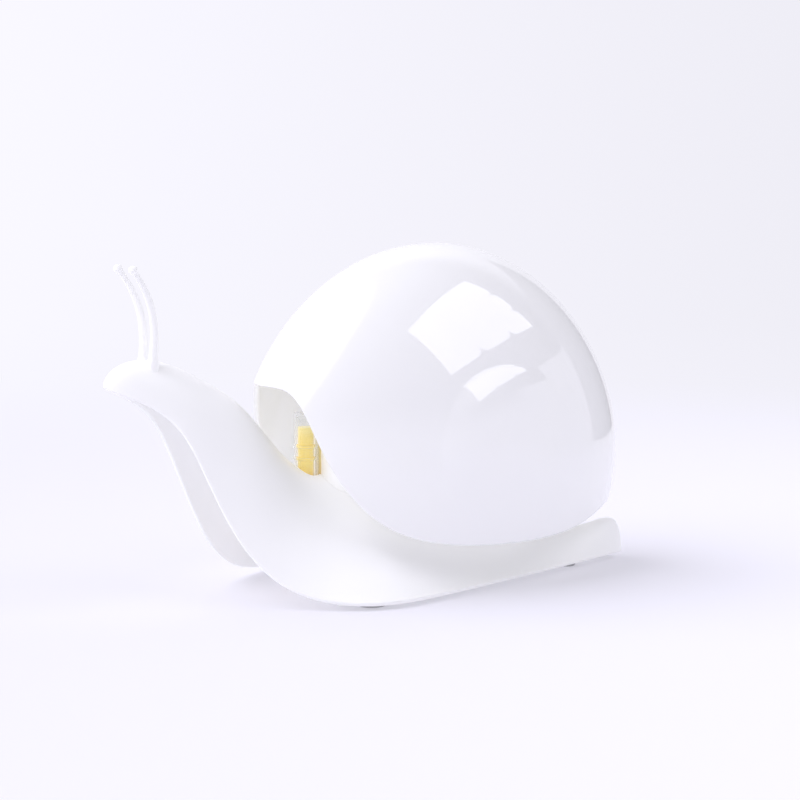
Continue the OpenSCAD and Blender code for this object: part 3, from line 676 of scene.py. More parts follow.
def piece(
    name: str, grids: list[np.ndarray], wrap_rows: bool = False, sharp_degrees: float = 38.0
) -> bpy.types.Object:
    """Makes one object of closed grids, with its faces outwards and its poles closed.

    The sign of the volume, the sum of a . (b x c) over the faces, says which way the faces point.

    Args:
        name: the piece's name.
        grids: grids of points in millimetres, each closed round its columns.
        wrap_rows: the last row of each joins its first.
        sharp_degrees: an edge that turns more than this stays sharp.

    Returns:
        The object, at the origin.
    """
    points, faces, start = [], [], 0
    for grid in grids:
        flat = grid.reshape(-1, 3) * MM
        quads = grid_faces(grid.shape[0], grid.shape[1], wrap_rows, True)
        a, b, c, d = (flat[quads[:, k]] for k in range(4))
        volume = np.einsum("ij,ij->i", a, np.cross(b, c)).sum() + np.einsum("ij,ij->i", a, np.cross(c, d)).sum()
        faces.append((quads if volume > 0 else quads[:, ::-1]) + start)
        points.append(flat)
        start += len(flat)
    corners = np.vstack(faces)
    mesh = bpy.data.meshes.new(name)
    mesh.vertices.add(start)
    mesh.vertices.foreach_set("co", np.vstack(points).astype(np.float32).ravel())
    mesh.loops.add(corners.size)
    mesh.loops.foreach_set("vertex_index", corners.astype(np.int32).ravel())
    mesh.polygons.add(len(corners))
    mesh.polygons.foreach_set("loop_start", np.arange(0, corners.size, 4, dtype=np.int32))
    mesh.update(calc_edges=True)
    work = bmesh.new()
    work.from_mesh(mesh)
    bmesh.ops.remove_doubles(work, verts=work.verts, dist=1e-6)
    bmesh.ops.dissolve_degenerate(work, edges=work.edges, dist=1e-7)
    work.to_mesh(mesh)
    work.free()
    made = bpy.data.objects.new(name, mesh)
    bpy.context.scene.collection.objects.link(made)
    soften(mesh, sharp_degrees)
    return made


def soften(mesh: bpy.types.Mesh, sharp_degrees: float) -> None:
    """Smooth shading, with sharp edges kept.

    Args:
        mesh: the mesh.
        sharp_degrees: an edge that turns more than this stays sharp.
    """
    mesh.polygons.foreach_set("use_smooth", np.ones(len(mesh.polygons), bool))
    mesh.set_sharp_from_angle(angle=math.radians(sharp_degrees))
    mesh.update()


def cut(obj: bpy.types.Object, cutter: bpy.types.Object) -> None:
    """Takes one closed mesh away from another and keeps the result in the mesh.

    Args:
        obj: the piece that loses material.
        cutter: what is taken away; it is removed afterwards.
    """
    tool = obj.modifiers.new("cut", "BOOLEAN")
    tool.operation = "DIFFERENCE"
    tool.solver = "EXACT"
    tool.object = cutter
    bpy.context.view_layer.update()
    graph = bpy.context.evaluated_depsgraph_get()
    result = bpy.data.meshes.new_from_object(obj.evaluated_get(graph))
    obj.modifiers.remove(tool)
    obj.data = result
    bpy.data.objects.remove(cutter)


def prism(name: str, outline: np.ndarray, low: float, high: float) -> bpy.types.Object:
    """Closed upright prism over an outline: four rows, of which the first and last are its middle.

    Args:
        name: the object's name.
        outline: its x and y, in order.
        low: its bottom.
        high: its top.

    Returns:
        The object.
    """
    middle = np.broadcast_to(outline.mean(0), outline.shape)
    rows = [(middle, low), (outline, low), (outline, high), (middle, high)]
    grid = np.stack([np.column_stack([xy, np.full(len(xy), z)]) for xy, z in rows])
    return piece(name, [grid])


def tube_profile(outer: float, bore: float, low: float, high: float, edge: float = 0.3) -> np.ndarray:
    """Section of an upright tube with broken edges, as a closed loop of radius and height.

    Args:
        outer: its radius.
        bore: the radius of its hole.
        low: its bottom.
        high: its top.
        edge: how far the outer edges are broken.

    Returns:
        Rows of [radius, z].
    """
    return np.array([[bore, low], [outer - edge, low], [outer, low + edge], [outer, high - edge],
                     [outer - edge, high], [bore, high]])


# ---- Body ----


@dataclass
class SnailBody:
    """Head, neck and foot: a thin-walled boat lofted along the body, open underneath and over the tank."""

    wall: float = 2.0
    lip_depth: float = 0.6
    rows: int = 250
    arch_points: int = 92
    lip_points: int = 7
    first_lining: float = 0.055
    last_lining: float = 0.965
    plate_top: float = 3.7
    clear_height: float = 140.0
    sight_x: float = -33.0
    sight_hole: float = 5.4
    boss_radius: float = 3.4
    boss_bore: float = 1.55
    boss_places: list[tuple[float, float]] = field(
        default_factory=lambda: [(-10, -30), (-10, 30), (69, -9), (69, 9)]
    )
    # ridge x, ridge z, edge x, edge half width, edge z, power of the arch
    sections: np.ndarray = field(
        default_factory=lambda: np.array(
            [
                [-114, 83.5, -114, 0, 83.5, 1],
                [-114, 87, -113.5, 4, 82.5, 1],
                [-107, 93.5, -107, 8.5, 80, 1],
                [-92, 93.5, -92, 14.5, 73, 1],
                [-76, 85, -84, 17, 57, 1],
                [-61, 76.3, -77, 18, 40, 1.05],
                [-48.5, 60, -69.5, 21.5, 24, 1.2],
                [-37, 47, -59, 28, 10, 1.6],
                [-22, 45.5, -43, 38, 2.7, 2.2],
                [-8, 50, -22, 51, 3.2, 2.8],
                [12, 50, 8, 41.5, 3.2, 3],
                [40, 39, 40, 30.5, 3.2, 3],
                [68, 22, 68, 21.5, 3.2, 2.4],
                [92, 12.5, 92, 13.5, 3.2, 1.8],
                [108, 19, 106, 8, 3.2, 1.6],
                [114.5, 15, 114, 5, 2.7, 1.5],
                [114, 3.2, 114, 0, 3.2, 1.5],
            ],
            float,
        )
    )

    def skin(self, u: np.ndarray, a: np.ndarray) -> np.ndarray:
        """Outer skin: the edge plus the way to the ridge times sin(a) to the section's power, and y = width cos(a).

        Args:
            u: along the body, 0 to 1, one value a row.
            a: over the arch in degrees, 0 to 180, a row of values for each u.

        Returns:
            The points.
        """
        s = spline(self.sections, np.clip(u, 0, 1))[:, None, :]
        a = np.radians(np.clip(a, 0, 180))
        h = np.sin(a) ** s[..., 5]
        ridge_x, ridge_z, edge_x, half_width, edge_z = (s[..., k] for k in range(5))
        return np.stack([edge_x + (ridge_x - edge_x) * h, half_width * np.cos(a), edge_z + (ridge_z - edge_z) * h], -1)

    def below(self, u: np.ndarray, a: np.ndarray, depth: float) -> np.ndarray:
        """The skin moved into the body along its normal, the cross product of its two slopes.

        Args:
            u: along the body.
            a: over the arch.
            depth: how far.

        Returns:
            The points.
        """
        along = self.skin(u + 0.002, a) - self.skin(u - 0.002, a)
        over = self.skin(u, np.minimum(a + 1, 180)) - self.skin(u, np.maximum(a - 1, 0))
        return self.skin(u, a) + depth * unit(np.cross(along, over))

    def roof(self, x: float, y: float) -> float:
        """Height of the skin over a point of the foot.

        Args:
            x: along the body.
            y: across it.

        Returns:
            The height.
        """
        u = np.linspace(0.3, 1, 4000)
        s = spline(self.sections, u)
        _, ridge_z, _, half_width, edge_z, power = s[int(np.searchsorted(s[:, 2], x))]
        return float(edge_z + (ridge_z - edge_z) * (1 - (y / half_width) ** 2) ** (power / 2))

    def loops(self) -> np.ndarray:
        """Closed loops round the wall, nose to tail: over the arch, round a lip, back under it, round the other lip.

        A lip is half an ellipse: its middle, plus half the wall times cos(t), plus its depth off the edge times
        sin(t). The arch starts where the skin is a lip's depth from its edge.

        Returns:
            A grid of points, one loop a row.
        """
        n, m = self.rows, self.arch_points
        i = np.arange(n + 1)
        u = i / n
        lining_u = np.clip(self.first_lining + (self.last_lining - self.first_lining) * (i - 1) / (n - 2),
                           self.first_lining, self.last_lining)
        probe = np.broadcast_to(np.linspace(0, 24, 97), (n + 1, 97))
        span = np.linalg.norm(self.skin(u, probe) - self.skin(u, probe[:, :1] * 0), axis=-1)
        start = (span < self.lip_depth).sum(1, keepdims=True) * 0.25
        share = (1 - np.cos(np.pi * np.linspace(0, 1, m))) / 2 * 0.45 + np.linspace(0, 1, m) * 0.55
        a = start + (180 - 2 * start) * share[None]
        outer = self.skin(u, a)
        inner = self.below(lining_u, a, self.wall)
        inner[0] = (inner[1, 0] + inner[1, -1]) / 2 - [0.8, 0, 0]
        inner[-1] = (inner[-2, 0] + inner[-2, -1]) / 2 + [0.8, 0, 0]
        t = np.linspace(0, np.pi, self.lip_points + 2)[1:-1][None, :, None]

        def lip(top: np.ndarray, back: np.ndarray, under: np.ndarray) -> np.ndarray:
            """Half an ellipse from the edge of the outside to the edge of the inside."""
            middle, half = (top + under)[:, None] / 2, (top - under)[:, None] / 2
            size = np.minimum(self.lip_depth, np.linalg.norm(top - under, axis=-1) / 2)[:, None, None]
            return middle + half * np.cos(t) + size * unit(top - back)[:, None] * np.sin(t)

        right = lip(outer[:, -1], outer[:, -3], inner[:, -1])
        left = lip(outer[:, 0], outer[:, 2], inner[:, 0])[:, ::-1]
        return np.concatenate([outer, right, inner[:, ::-1], left], 1)

    def openings(self) -> list[bpy.types.Object]:
        """What is cut from the roof: the tank, its sight tube and web, the hose and the sockets of the rods.

        Their heights and edges differ a little, so that no two faces lie in one plane when they are cut.

        Returns:
            The cutters.
        """
        turn = np.linspace(0, 2 * np.pi, 48, endpoint=False)
        sight = np.stack([self.sight_x + self.sight_hole * np.cos(turn), self.sight_hole * np.sin(turn)], 1)
        low, high = self.plate_top, self.clear_height
        return [
            prism("tank_opening", rounded_outline(-28.3, 40.3, 17.3, 12.5, 6.3), low, high),
            prism("sight_opening", sight, low + 0.01, high + 0.7),
            prism("web_opening", rectangle(-33.02, -23, -3, 3), low + 0.02, high + 1.3),
            prism("hose_opening", rectangle(-8.01, 20.01, 0.03, 24.2), low + 0.03, high + 2.1),
            prism("socket_opening", rectangle(38.02, 56.5, -14.5, 14.52), low + 0.04, high + 2.9),
        ]

    def build(self, frame: dict, paint: Paintbox) -> None:
        """Makes the body and the bosses under its roof.

        Args:
            paint: gives the finishes.
        """
        made = piece("snail_body", [self.loops()], sharp_degrees=50)
        for cutter in self.openings():
            cut(made, cutter)
        soften(made.data, 50)
        paint.paint(made, SATIN_WHITE, "body_white")
        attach(made, Body.BASE.value)
        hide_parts("body")
        LOG.info("snail_body: %d faces", len(made.data.polygons))
        bosses = piece(
            "roof_bosses",
            [
                turned(
                    tube_profile(self.boss_radius, self.boss_bore, self.plate_top,
                                 self.roof(x, abs(y) + self.boss_radius) - 0.9), (x, y), 40)
                for x, y in self.boss_places
            ],
            wrap_rows=True,
        )
        paint.paint(bosses, SATIN_WHITE, "body_white")
        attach(bosses, Body.BASE.value)
        LOG.info("roof_bosses: %d", len(self.boss_places))


@dataclass
class Antennae:
    """The pair of bowed stalks, each in a small collar and ending in a ball."""

    root_x: float = -97.0
    root_y: float = 5.5
    foot_radius: float = 1.75
    tip_radius: float = 1.1
    ball_radius: float = 1.7
    collar_radius: float = 2.1
    sides: int = 36
    bow: list[tuple[float, float, float]] = field(
        default_factory=lambda: [(0, 0, 1), (0.8, 0.5, 10), (0, 1.3, 20), (-3.5, 2.1, 29), (-7.9, 2.8, 35.3)]
    )

    def build(self, paint: Paintbox) -> None:
        """Makes both antennae.

        The stalk's radius falls evenly along it. The ball's is the root of its radius squared less the square
        of the way to its middle, and the piece takes the larger of the two.

        Args:
            paint: gives the finish.
        """
        for hand, node in ((-1, "antenna_left"), (1, "antenna_right")):
            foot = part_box(node)[0].z / MM + 5
            bow = np.array(self.bow) * [1, hand, 1] + [self.root_x, hand * self.root_y, foot]
            u = np.linspace(0, 1, 90)
            stalk = spline(bow, u)
            way = unit(stalk[-1] - stalk[-2])
            beyond = stalk[-1] + way * np.linspace(0, self.ball_radius + 0.3, 16)[1:, None]
            path = np.vstack([[stalk[0] - [0, 0, 5.5]], [stalk[0] - [0, 0, 0.6]], stalk, beyond])
            run = np.concatenate([[0], np.cumsum(np.linalg.norm(np.diff(path, axis=0), axis=1))])
            ball_at = run[91] + 0.3
            thin = np.interp(run, [run[1], run[91]], [self.foot_radius, self.tip_radius])
            thin[run > ball_at] = 0
            ball = np.sqrt(np.maximum(self.ball_radius**2 - (run - ball_at) ** 2, 0))
            above = path[:, 2] - foot
            collar = (self.collar_radius - thin) * (1 - smooth((above - 1.6) / 1.1))
            radius = np.maximum(thin + np.maximum(collar, 0), ball)
            radius[0], radius[-1] = 0, 0
            path = np.vstack([path[:1] + [0, 0, 0.01], path])
            radius = np.concatenate([[0.0], [radius[1]], radius[1:]])
            path[1] = path[0]
            apart = np.linspace(0, 1e-4, len(path))[:, None] * [0, 0, 1]
            made = piece(node + "_stalk", [carried(path + apart, radius, self.sides)])
            paint.paint(made, SATIN_WHITE, "body_white")
            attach(made, Body.BASE.value)
            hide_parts(node)
            LOG.info("%s: %d faces", made.name, len(made.data.polygons))


# ---- Shell ----


@dataclass
class PressShell:
    """The glossy dome, with a slanted mouth, a round lip and a raised whorl on each side."""

    half_length: float = 82.2
    half_width: float = 50.0
    mid_x: float = 23.3
    mid_z: float = 49.3
    mean_rise: float = 79.4
    lift: float = 6.6
    wall: float = 2.0
    lip_depth: float = 0.8
    rim_side: float = 18.5
    rim_crown: float = 81.2
    rim_tail: float = 30.3
    whorl_radius: float = 33.0
    whorl_rise: float = 2.6
    whorl_shoulder: float = 17.0
    whorl_crease: float = 1.6
    whorl_x: float = 33.0
    whorl_z: float = 57.0
    columns: int = 400
    outer_rows: int = 150
    inner_rows: int = 46
    lip_points: int = 7
    post_radius: float = 3.5
    post_bore: float = 1.55
    post_sides: int = 40
    sunk: float = 1.1
    press_top: float = 111.0
    post_places: list[tuple[float, float]] = field(
        default_factory=lambda: [(-2, -12), (-2, 12), (36.1, -12), (36.1, 12)]
    )

    def whorl(self, x: np.ndarray, z: np.ndarray) -> np.ndarray:
        """Rise of the whorl: a crease at its radius, a shoulder that rises as 1 - (1 - t) squared, and a fade.

        Args:
            x: along the body.
            z: height.

        Returns:
            The rise.
        """
        dx, dz = x - self.whorl_x, z - self.whorl_z
        inside = self.whorl_radius - np.hypot(dx, dz)
        eased = np.where(inside < self.whorl_crease, np.maximum(inside, 0) ** 2 / (2 * self.whorl_crease),
                         inside - self.whorl_crease / 2)
        t = np.clip(eased / self.whorl_shoulder, 0, 1)
        along = dx * np.cos(np.radians(125)) + dz * np.sin(np.radians(125))
        return self.whorl_rise * (1 - (1 - t) ** 2) * smooth((along + 14) / 46)

    def rim(self, phi: np.ndarray) -> np.ndarray:
        """Height of the mouth round the shell: low at the sides, high over the neck, raised over the tail.

        Args:
            phi: azimuth in degrees, 0 over the tail.

        Returns:
            The height.
        """
        p = np.abs((phi + 180) % 360 - 180)
        return (self.rim_side + (self.rim_crown - self.rim_side) / (1 + ((180 - p) / 43.2) ** 5)
                + (self.rim_tail - self.rim_side) / (1 + (p / 48) ** 5))

    def sine_at(self, z: np.ndarray, inset: float) -> np.ndarray:
        """Sine s of the latitude at a height, from z = mid_z + c s + lift s squared."""
        c = self.mean_rise - inset
        return (np.sqrt(c * c + 4 * self.lift * (z - self.mid_z)) - c) / (2 * self.lift)

    def dome(self, phi: np.ndarray, latitude: np.ndarray, inset: float) -> np.ndarray:
        """A point of the dome thinned by inset: an egg with the whorl's rise added to y, times sin(phi).

        Args:
            phi: azimuth in degrees.
            latitude: in radians.
            inset: how far inside the outer skin.

        Returns:
            The points.
        """
        s, q = np.sin(latitude), np.cos(latitude)
        f = np.radians(phi)
        x = self.mid_x + (self.half_length - inset) * q * np.cos(f)
        z = self.mid_z + (self.mean_rise - inset) * s + self.lift * s * s
        y = (self.half_width - inset) * q * np.sin(f) + np.sin(f) * self.whorl(x, z)
        return np.stack([x, y, z], -1)

    def profile(self) -> np.ndarray:
        """Rows from the top of the outside down to the lip, round it, and up the inside to its top.

        Returns:
            A grid of points, one row per height.
        """
        phi = np.linspace(0, 360, self.columns, endpoint=False)[None, :]
        low = self.rim(phi) + self.lip_depth
        fall = np.linspace(1, 0, self.outer_rows)[:, None]
        outside_low = np.arcsin(self.sine_at(low, 0))
        outer = self.dome(phi, outside_low + (np.pi / 2 - outside_low) * fall, 0)
        inside_low = np.arcsin(self.sine_at(low, self.wall))
        rise = np.linspace(0, 1, self.inner_rows)[:, None]
        inner = self.dome(phi, inside_low + (np.pi / 2 - inside_low) * rise, self.wall)
        off = unit(outer[-1] - outer[-2])
        middle, half = (outer[-1] + inner[0]) / 2, (outer[-1] - inner[0]) / 2
        t = np.linspace(0, np.pi, self.lip_points + 2)[1:-1][:, None, None]
        lip = middle + half * np.cos(t) + self.lip_depth * off * np.sin(t)
        return np.concatenate([outer, lip, inner])

    def ceiling(self, x: float, y: float) -> float:
        """Height of the inside of the dome over a point: 1 less the squared shares of its axes gives the sine."""
        q = math.hypot((x - self.mid_x) / (self.half_length - self.wall), y / (self.half_width - self.wall))
        s = math.sqrt(1 - q * q)
        return self.mid_z + (self.mean_rise - self.wall) * s + self.lift * s * s

    def mark_inside(self, mesh: bpy.types.Mesh) -> None:
        """Marks each point 1 where its normal looks towards the middle of the dome, and 0 elsewhere; the gloss finish
        paints a stronger glow where the mark is 1.
        """
        place = np.empty(len(mesh.vertices) * 3, np.float32)
        normal = np.empty_like(place)
        mesh.vertices.foreach_get("co", place)
        mesh.vertices.foreach_get("normal", normal)
        out = place.reshape(-1, 3) - np.array([self.mid_x, 0.0, self.mid_z]) * MM
        inward = (out * normal.reshape(-1, 3)).sum(axis=1) < 0
        mesh.attributes.new("inside", "FLOAT", "POINT").data.foreach_set("value", inward.astype(np.float32))

    def build(self, paint: Paintbox) -> None:
        """Makes the shell and the four posts that it is screwed by.

        Args:
            paint: gives the finish.
        """
        made = piece("snail_shell", [self.profile()], sharp_degrees=60)
        self.mark_inside(made.data)
        paint.paint(made, GLOSS_WHITE, "shell_gloss")
        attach(made, Body.SHELL.value)
        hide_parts("shell")
        LOG.info("snail_shell: %d faces", len(made.data.polygons))
        grids = []
        for x, y in self.post_places:
            reach = self.ceiling(x - math.copysign(self.post_radius, self.mid_x - x), abs(y) + self.post_radius)
            section = tube_profile(self.post_radius, self.post_bore, self.press_top, reach + self.sunk)
            grids.append(turned(section, (x, y), self.post_sides))
        posts = piece("shell_posts", grids, wrap_rows=True)
        paint.paint(posts, GLOSS_WHITE, "shell_gloss")
        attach(posts, Body.SHELL.value)
        LOG.info("shell_posts: %d", len(self.post_places))


# ---- Pump, hoses and the carried parts ----


@dataclass
class PumpSpring:
    """The return spring: round wire on a helix, with its ends closed up."""

    centre_x: float = 12.0
    radius: float = 4.1
    wire: float = 0.9
    turns: int = 7
    low: float = 54.0
    pressed_share: float = 14 / 22

    def build(self, paint: Paintbox) -> None:
        """Makes the spring: x and y go round at the radius, and z climbs evenly between the end coils.

        Args:
            paint: gives the finish.
        """
        turn = np.linspace(-0.6, self.turns + 0.6, 520)
        climb = np.clip(turn / self.turns, 0, 1)
        a = 2 * np.pi * turn
        path = np.stack([self.centre_x + self.radius * np.cos(a), self.radius * np.sin(a),
                         self.low + 0.5 + 21.0 * climb], 1)
        radius = np.full(len(path), self.wire / 2)
        radius[[0, -1]] = 0
        path[0], path[-1] = path[1], path[-2]
        way = unit(np.gradient(np.stack([path[:, 0], path[:, 1], self.low + 21.0 * turn / self.turns], 1), axis=0))
        out = unit(path * [1, 1, 0] - [self.centre_x, 0, 0])
        side = np.cross(way, out)
        t = np.linspace(0, 2 * np.pi, 14, endpoint=False)[None, :, None]
        grid = path[:, None] + radius[:, None, None] * (out[:, None] * np.cos(t) + side[:, None] * np.sin(t))
        made = piece("return_spring", [grid])
        paint.paint(made, SPRING_WIRE, "spring_steel")
        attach(made, Body.BASE.value)
        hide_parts("pump_spring")
        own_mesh(made)
        LOG.info("return_spring: %d faces", len(made.data.polygons))


@dataclass
class Hoses:
    """The silicone hose, in two lengths: down from the pump's head, and forward through the neck."""

    radius: float = 2.5
    bore: float = 1.6
    lane_y: float = 20.5
    sides: int = 28
    floor_z: float = 25.0
    top_z: float = 99.3
    travel: float = 8.0

    def upper_route(self) -> np.ndarray:
        """Points of the upper hose, from the barb of the pump's head to the joiner."""
        y = self.lane_y
        return np.array([[12, y, 99.3], [12, y, 92], [12, y, 84], [13, y, 72], [11, y, 58], [6, y, 45], [2, y, 34],
                         [-3, y, 27], [-7, y, 25], [-10.5, y, 25], [-13.7, y, 25]])

    def lower_route(self, body: SnailBody) -> np.ndarray:
        """Points of the lower hose, from the joiner along the neck, 12 below its roof, to the nozzle.

        Args:
            body: gives the roof of the neck.

        Returns:
            The points.
        """
        u = np.array([0.40, 0.37, 0.34, 0.31, 0.28, 0.25])
        channel = body.below(u, np.full((len(u), 1), 90.0), 12.0)[:, 0]
        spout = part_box("nozzle")[0].z / MM + 5
        end = [[-90.6 + d, 0, spout] for d in (9, 6, 3, 0)]
        start = [[-14.3, 20.5, 25], [-17.5, 20.5, 25], [-21, 20.5, 25], [-28, 17.3, 26], [-38, 11, 30], [-47, 3, 37]]
        return np.vstack([start, channel, end])

    def wall(self, route: np.ndarray, rings: int) -> np.ndarray:
        """Outer circles along the route and inner ones back, joined at both ends.

        Args:
            route: the hose's points.
            rings: circles along it.

        Returns:
            A grid whose last row joins its first.
        """
        path = spline(route, np.linspace(0, 1, rings))
        ease = np.full(rings, self.radius)
        ease[[0, -1]] -= 0.15
        outer = carried(path, ease, self.sides)
        inner = carried(path, np.full(rings, self.bore), self.sides)
        return np.concatenate([outer, inner[::-1]])

    def build(self, body: SnailBody, paint: Paintbox) -> None:
        """Makes both lengths.

        Args:
            body: gives the roof of the neck.
            paint: gives the finish.
        """
        upper = piece("hose_upper_silicone", [self.wall(self.upper_route(), 130)], wrap_rows=True)
        lower = piece("hose_lower_silicone", [self.wall(self.lower_route(body), 200)], wrap_rows=True)
        for made, node in ((upper, "hose_upper"), (lower, "hose_lower")):
            paint.paint(made, HOSE_CLEAR, "hose_silicone")
            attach(made, Body.BASE.value)
            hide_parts(node)
            LOG.info("%s: %d faces", made.name, len(made.data.polygons))
        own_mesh(upper)


@dataclass
class CarriedParts:
    """The CAD nodes that keep their shape, and the finish of each."""

    inner: list[str] = field(
        default_factory=lambda: ["base_plate", "tank_lid", "pump_collar", "actuator", "press_plate", "hose_joiner",
                                 "hose_clip_1", "hose_clip_2", "nozzle"]
    )
    natural: list[str] = field(
        default_factory=lambda: ["pump_barrel", "ball_cage", "pump_piston", "pump_stem", "guide_bush_left",
                                 "guide_bush_right"]
    )
    pads: list[str] = field(default_factory=lambda: ["foot_pad_1", "foot_pad_2", "foot_pad_3", "foot_pad_4"])

    def dress(self, frame: dict, paint: Paintbox) -> None:
        """Gives every carried node its finish.

        Args:
            paint: gives the finishes.
        """
        paint.paint_nodes(frame, self.inner, INNER_WHITE, "inner_white")
        paint.paint_nodes(frame, self.natural, NATURAL, "pump_natural")
        paint.paint_nodes(frame, ["dip_tube"], TUBE_CLEAR, "pump_natural")
        paint.paint_nodes(frame, self.pads, PAD, "pad_rubber")
        paint.paint_nodes(frame, ["tank"], TANK_CLEAR, "tank_clear")
        paint.paint_nodes(frame, ["soap"], SOAP, "soap_yellow")
        paint.paint_nodes(frame, ["tank_seal", "neck_gasket"], SEAL, "seal_grey")
        paint.paint_nodes(frame, ["nozzle_valve"], VALVE, "seal_grey")
        paint.paint_nodes(frame, ["base_screws", "shell_screws"], ZINC, "screw_steel")
        paint.paint_nodes(frame, ["guide_rod_left", "guide_rod_right"], GROUND_ROD, "rod_steel")
        paint.paint_nodes(frame, ["foot_valve_ball"], POLISHED, "ball_steel")


# ---- Studio ----


@dataclass
class Studio:
    """Pale floor that curves up into a wall all round, a soft panel, a tent and the camera. Lengths in metres."""

    tint: Colour = (0.935, 0.925, 1.0)
    left_wall: float = 1.035
    right_wall: float = 0.915
    floor_albedo: float = 0.92
    floor_glow: float = 0.30
    flat_radius: float = 1.5
    curve: float = 0.35
    wall_top: float = 0.75
    front_sky: float = 0.27
    back_sky: float = 0.90
    key_sky: float = 3.2
    key_azimuth: float = -105.0
    key_elevation: float = 44.0
    key_half_angle: float = 34.0
    panel_level: float = 2.2
    card_level: float = 0.48
    card_corners: list[tuple[float, float, float]] = field(
        default_factory=lambda: [(0.95, -0.10, 0.0), (0.80, 0.42, 0.0), (0.72, 0.45, 0.80), (0.85, -0.12, 0.62)]
    )
    notch_depth: float = 0.10
    notch_width: float = 0.018
    panel_corners: list[tuple[float, float, float]] = field(
        default_factory=lambda: [(-0.042, -0.889, 1.09), (0.69, -0.264, 1.30), (1.22, -0.407, 0.83),
                                 (0.36, -1.255, 0.69)]
    )
    camera_place: tuple[float, float, float] = (-0.3223, -0.6321, 0.1511)
    camera_yaw: float = 27.62
    camera_pitch: float = 6.26
    lens: float = 81.0

    def _sheet(self, name: str, grid: np.ndarray, closed: bool) -> bpy.types.Object:
        """Makes an open stage surface from a grid of points in metres.

        Args:
            name: its name.
            grid: its points.
            closed: the last column joins the first.

        Returns:
            The staged object.
        """
        mesh = bpy.data.meshes.new(name)
        faces = grid_faces(grid.shape[0], grid.shape[1], False, closed)
        mesh.from_pydata(grid.reshape(-1, 3).tolist(), [], faces.tolist())
        mesh.polygons.foreach_set("use_smooth", np.ones(len(mesh.polygons), bool))
        made = bpy.data.objects.new(name, mesh)
        bpy.context.scene.collection.objects.link(made)
        return made

    def floor(self) -> None:
        """Makes the floor and wall: a profile of radius and height turned about the middle.

        Near the object it is a matte floor that takes shadows. Further out it fades to an even glow, brighter on
        the left than on the right, so that no horizon shows. The wall in front dims upwards to the tent's level, so
        that the gloss mirrors no edge there.
        """
        bend = np.linspace(0, np.pi / 2, 24)
        reach = [0.001, 0.2, 0.5, 1.0], self.flat_radius + self.curve * np.sin(bend), [self.flat_radius + self.curve]
        rise = [0, 0, 0, 0], self.curve * (1 - np.cos(bend)), [self.wall_top]
        r, h = np.concatenate(reach)[:, None], np.concatenate(rise)[:, None]
        t = np.linspace(0, 2 * np.pi, 128, endpoint=False)[None, :]
        grid = np.stack([r * np.cos(t), r * np.sin(t), h + 0 * t], -1)
        made = self._sheet("floor", grid, True)
        paint = bpy.data.materials.new("floor_paper")
        paint.use_nodes = True
        graph = Graph(paint.node_tree)
        place = graph.place()
        x = graph.add("ShaderNodeSeparateXYZ", None, {"Vector": place}, "X")
        y = graph.add("ShaderNodeSeparateXYZ", None, {"Vector": place}, "Y")
        away = (x * x + y * y) ** 0.5
        paper = graph.add(
            "ShaderNodeBsdfPrincipled",
            None,
            {
                "Base Color": graph.blend(graph.noise(30.0), tuple(c * self.floor_albedo for c in self.tint),
                                          tuple(c * self.floor_albedo * 0.996 for c in self.tint)),
                "Roughness": 0.9,
                "Specular IOR Level": 0.0,
            },
        )
        z = graph.add("ShaderNodeSeparateXYZ", None, {"Vector": place}, "Z")
        side = (x * 0.9 - y * 0.45).between(-0.9, 0.9)
        even = graph.blend(side, tuple(c * self.left_wall for c in self.tint),
                           tuple(c * self.right_wall for c in self.tint))
        turn = math.radians(self.camera_yaw)
        in_front = (x * -math.sin(turn) - y * math.cos(turn)).between(0.1, 0.7)
        dim = in_front * z.between(0.1, self.wall_top)
        glow = graph.add(
            "ShaderNodeEmission", None,
            {"Color": graph.blend(dim, even, tuple(c * self.front_sky for c in self.tint)), "Strength": 1.0},
        )
        share = away.between(0.25, 0.9) * (1 - self.floor_glow) + self.floor_glow
        graph.surface(graph.add("ShaderNodeMixShader", None, {0: share, 1: paper, 2: glow}))
        paint.cycles.emission_sampling = "NONE"
        made.data.materials.append(paint)

    def lights(self) -> None:
        """Makes the soft panel at the front right, the dark card and the tent, which is bright on the left.

        The tent's level steps up where the cosine of the angle to the key's middle passes that of its half angle,
        and rises behind the object, where the direction's share along the camera's heading passes a quarter.
        """
        a, b, c, d = (np.array(p) for p in self.panel_corners)
        s = np.linspace(0, 1, 61)[:, None, None]
        t = np.linspace(0, 1, 61)[None, :, None]

        def notch(v: np.ndarray, places: tuple[float, ...]) -> np.ndarray:
            """Slack cloth along an edge: sharp dips of the edge at the given places."""
            return sum(self.notch_depth * np.exp(-np.abs(v - p) / self.notch_width) for p in places)

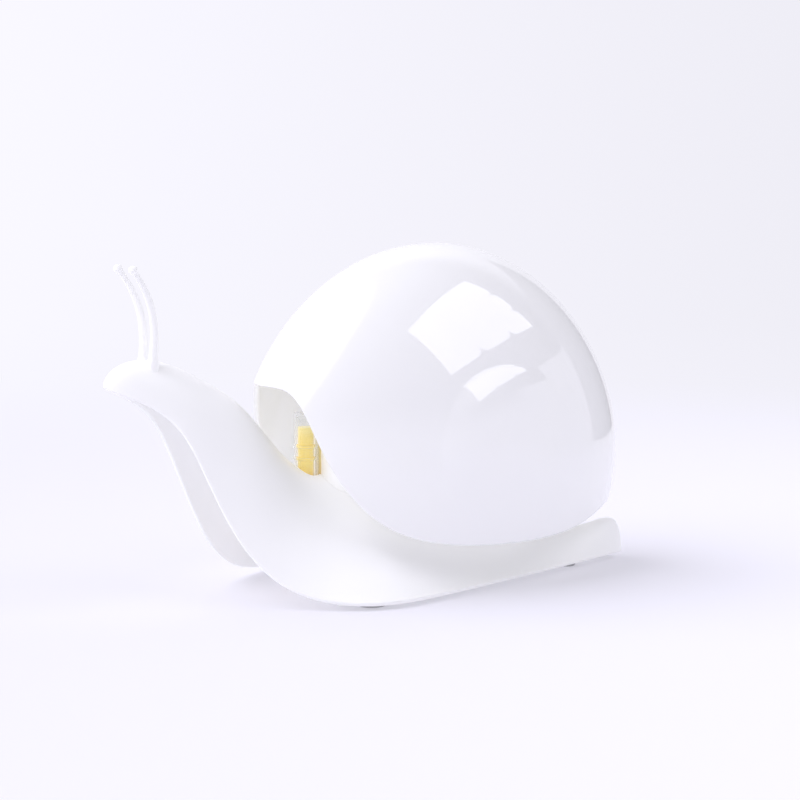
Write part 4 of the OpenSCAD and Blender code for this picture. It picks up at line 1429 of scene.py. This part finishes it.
        t2 = t * (1 - notch(s, (0.35, 0.68)))
        s2 = s * (1 - notch(t, (0.4, 0.72)))
        grid = (a * (1 - s2) + b * s2) * (1 - t2) + (d * (1 - s2) + c * s2) * t2
        panel = self._sheet("soft_panel", grid, False)
        cloth = bpy.data.materials.new("panel_glow")
        cloth.use_nodes = True
        graph = Graph(cloth.node_tree)
        graph.surface(graph.add("ShaderNodeEmission", None, {"Color": self.tint, "Strength": self.panel_level}))
        panel.data.materials.append(cloth)
        panel.visible_camera = False
        card = self._sheet("dark_card", np.array(self.card_corners)[[[0, 1], [3, 2]]], False)
        card.visible_camera = card.visible_diffuse = card.visible_shadow = False
        felt = bpy.data.materials.new("card_felt")
        felt.use_nodes = True
        graph = Graph(felt.node_tree)
        graph.surface(graph.add("ShaderNodeEmission", None, {"Color": self.tint, "Strength": self.card_level}))
        card.data.materials.append(felt)
        world = bpy.data.worlds.new("light_tent")
        bpy.context.scene.world = world
        world.use_nodes = True
        graph = Graph(world.node_tree)
        way = graph.add("ShaderNodeTexCoord", out="Generated")
        a, e = math.radians(self.key_azimuth), math.radians(self.key_elevation)
        towards = (math.sin(a) * math.cos(e), -math.cos(a) * math.cos(e), math.sin(e))
        near = graph.add("ShaderNodeVectorMath", {"operation": "DOT_PRODUCT"}, {0: way, 1: towards}, "Value")
        edge = math.cos(math.radians(self.key_half_angle))
        turn = math.radians(self.camera_yaw)
        away = (
            graph.add("ShaderNodeSeparateXYZ", None, {"Vector": way}, "X") * math.sin(turn)
            + graph.add("ShaderNodeSeparateXYZ", None, {"Vector": way}, "Y") * math.cos(turn)
        )
        level = self.front_sky + away.between(0.25, 0.55) * (self.back_sky - self.front_sky)
        level = level + near.between(edge - 0.05, edge + 0.05) * (self.key_sky - self.front_sky)
        sky = graph.add("ShaderNodeBackground", None, {"Color": self.tint, "Strength": level})
        graph.add("ShaderNodeOutputWorld", None, {"Surface": sky})

    def camera(self) -> None:
        """Makes the camera, turned by its yaw towards the tail and its pitch down."""
        data = bpy.data.cameras.new("camera")
        data.lens = self.lens
        data.sensor_width = 36.0
        made = bpy.data.objects.new("camera", data)
        yaw, pitch = math.radians(self.camera_yaw), math.radians(self.camera_pitch)
        way = Vector((math.sin(yaw) * math.cos(pitch), math.cos(yaw) * math.cos(pitch), -math.sin(pitch)))
        made.location = self.camera_place
        made.rotation_euler = way.to_track_quat("-Z", "Y").to_euler()
        bpy.context.scene.collection.objects.link(made)
        bpy.context.scene.camera = made

    def build(self) -> None:
        """Makes the floor, the lights and the camera."""
        self.camera()
        self.floor()
        self.lights()
        bpy.context.scene.view_settings.view_transform = "Standard"


def main() -> None:
    """Builds every piece in order."""
    logging.basicConfig(level=logging.INFO, format="%(name)s %(message)s")
    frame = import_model()
    Studio().build()
    paint = Paintbox()
    body = SnailBody()
    body.build(frame, paint)
    Antennae().build(paint)
    PressShell().build(paint)
    PumpSpring().build(paint)
    Hoses().build(body, paint)
    CarriedParts().dress(frame, paint)


if __name__ == "__main__":
    main()
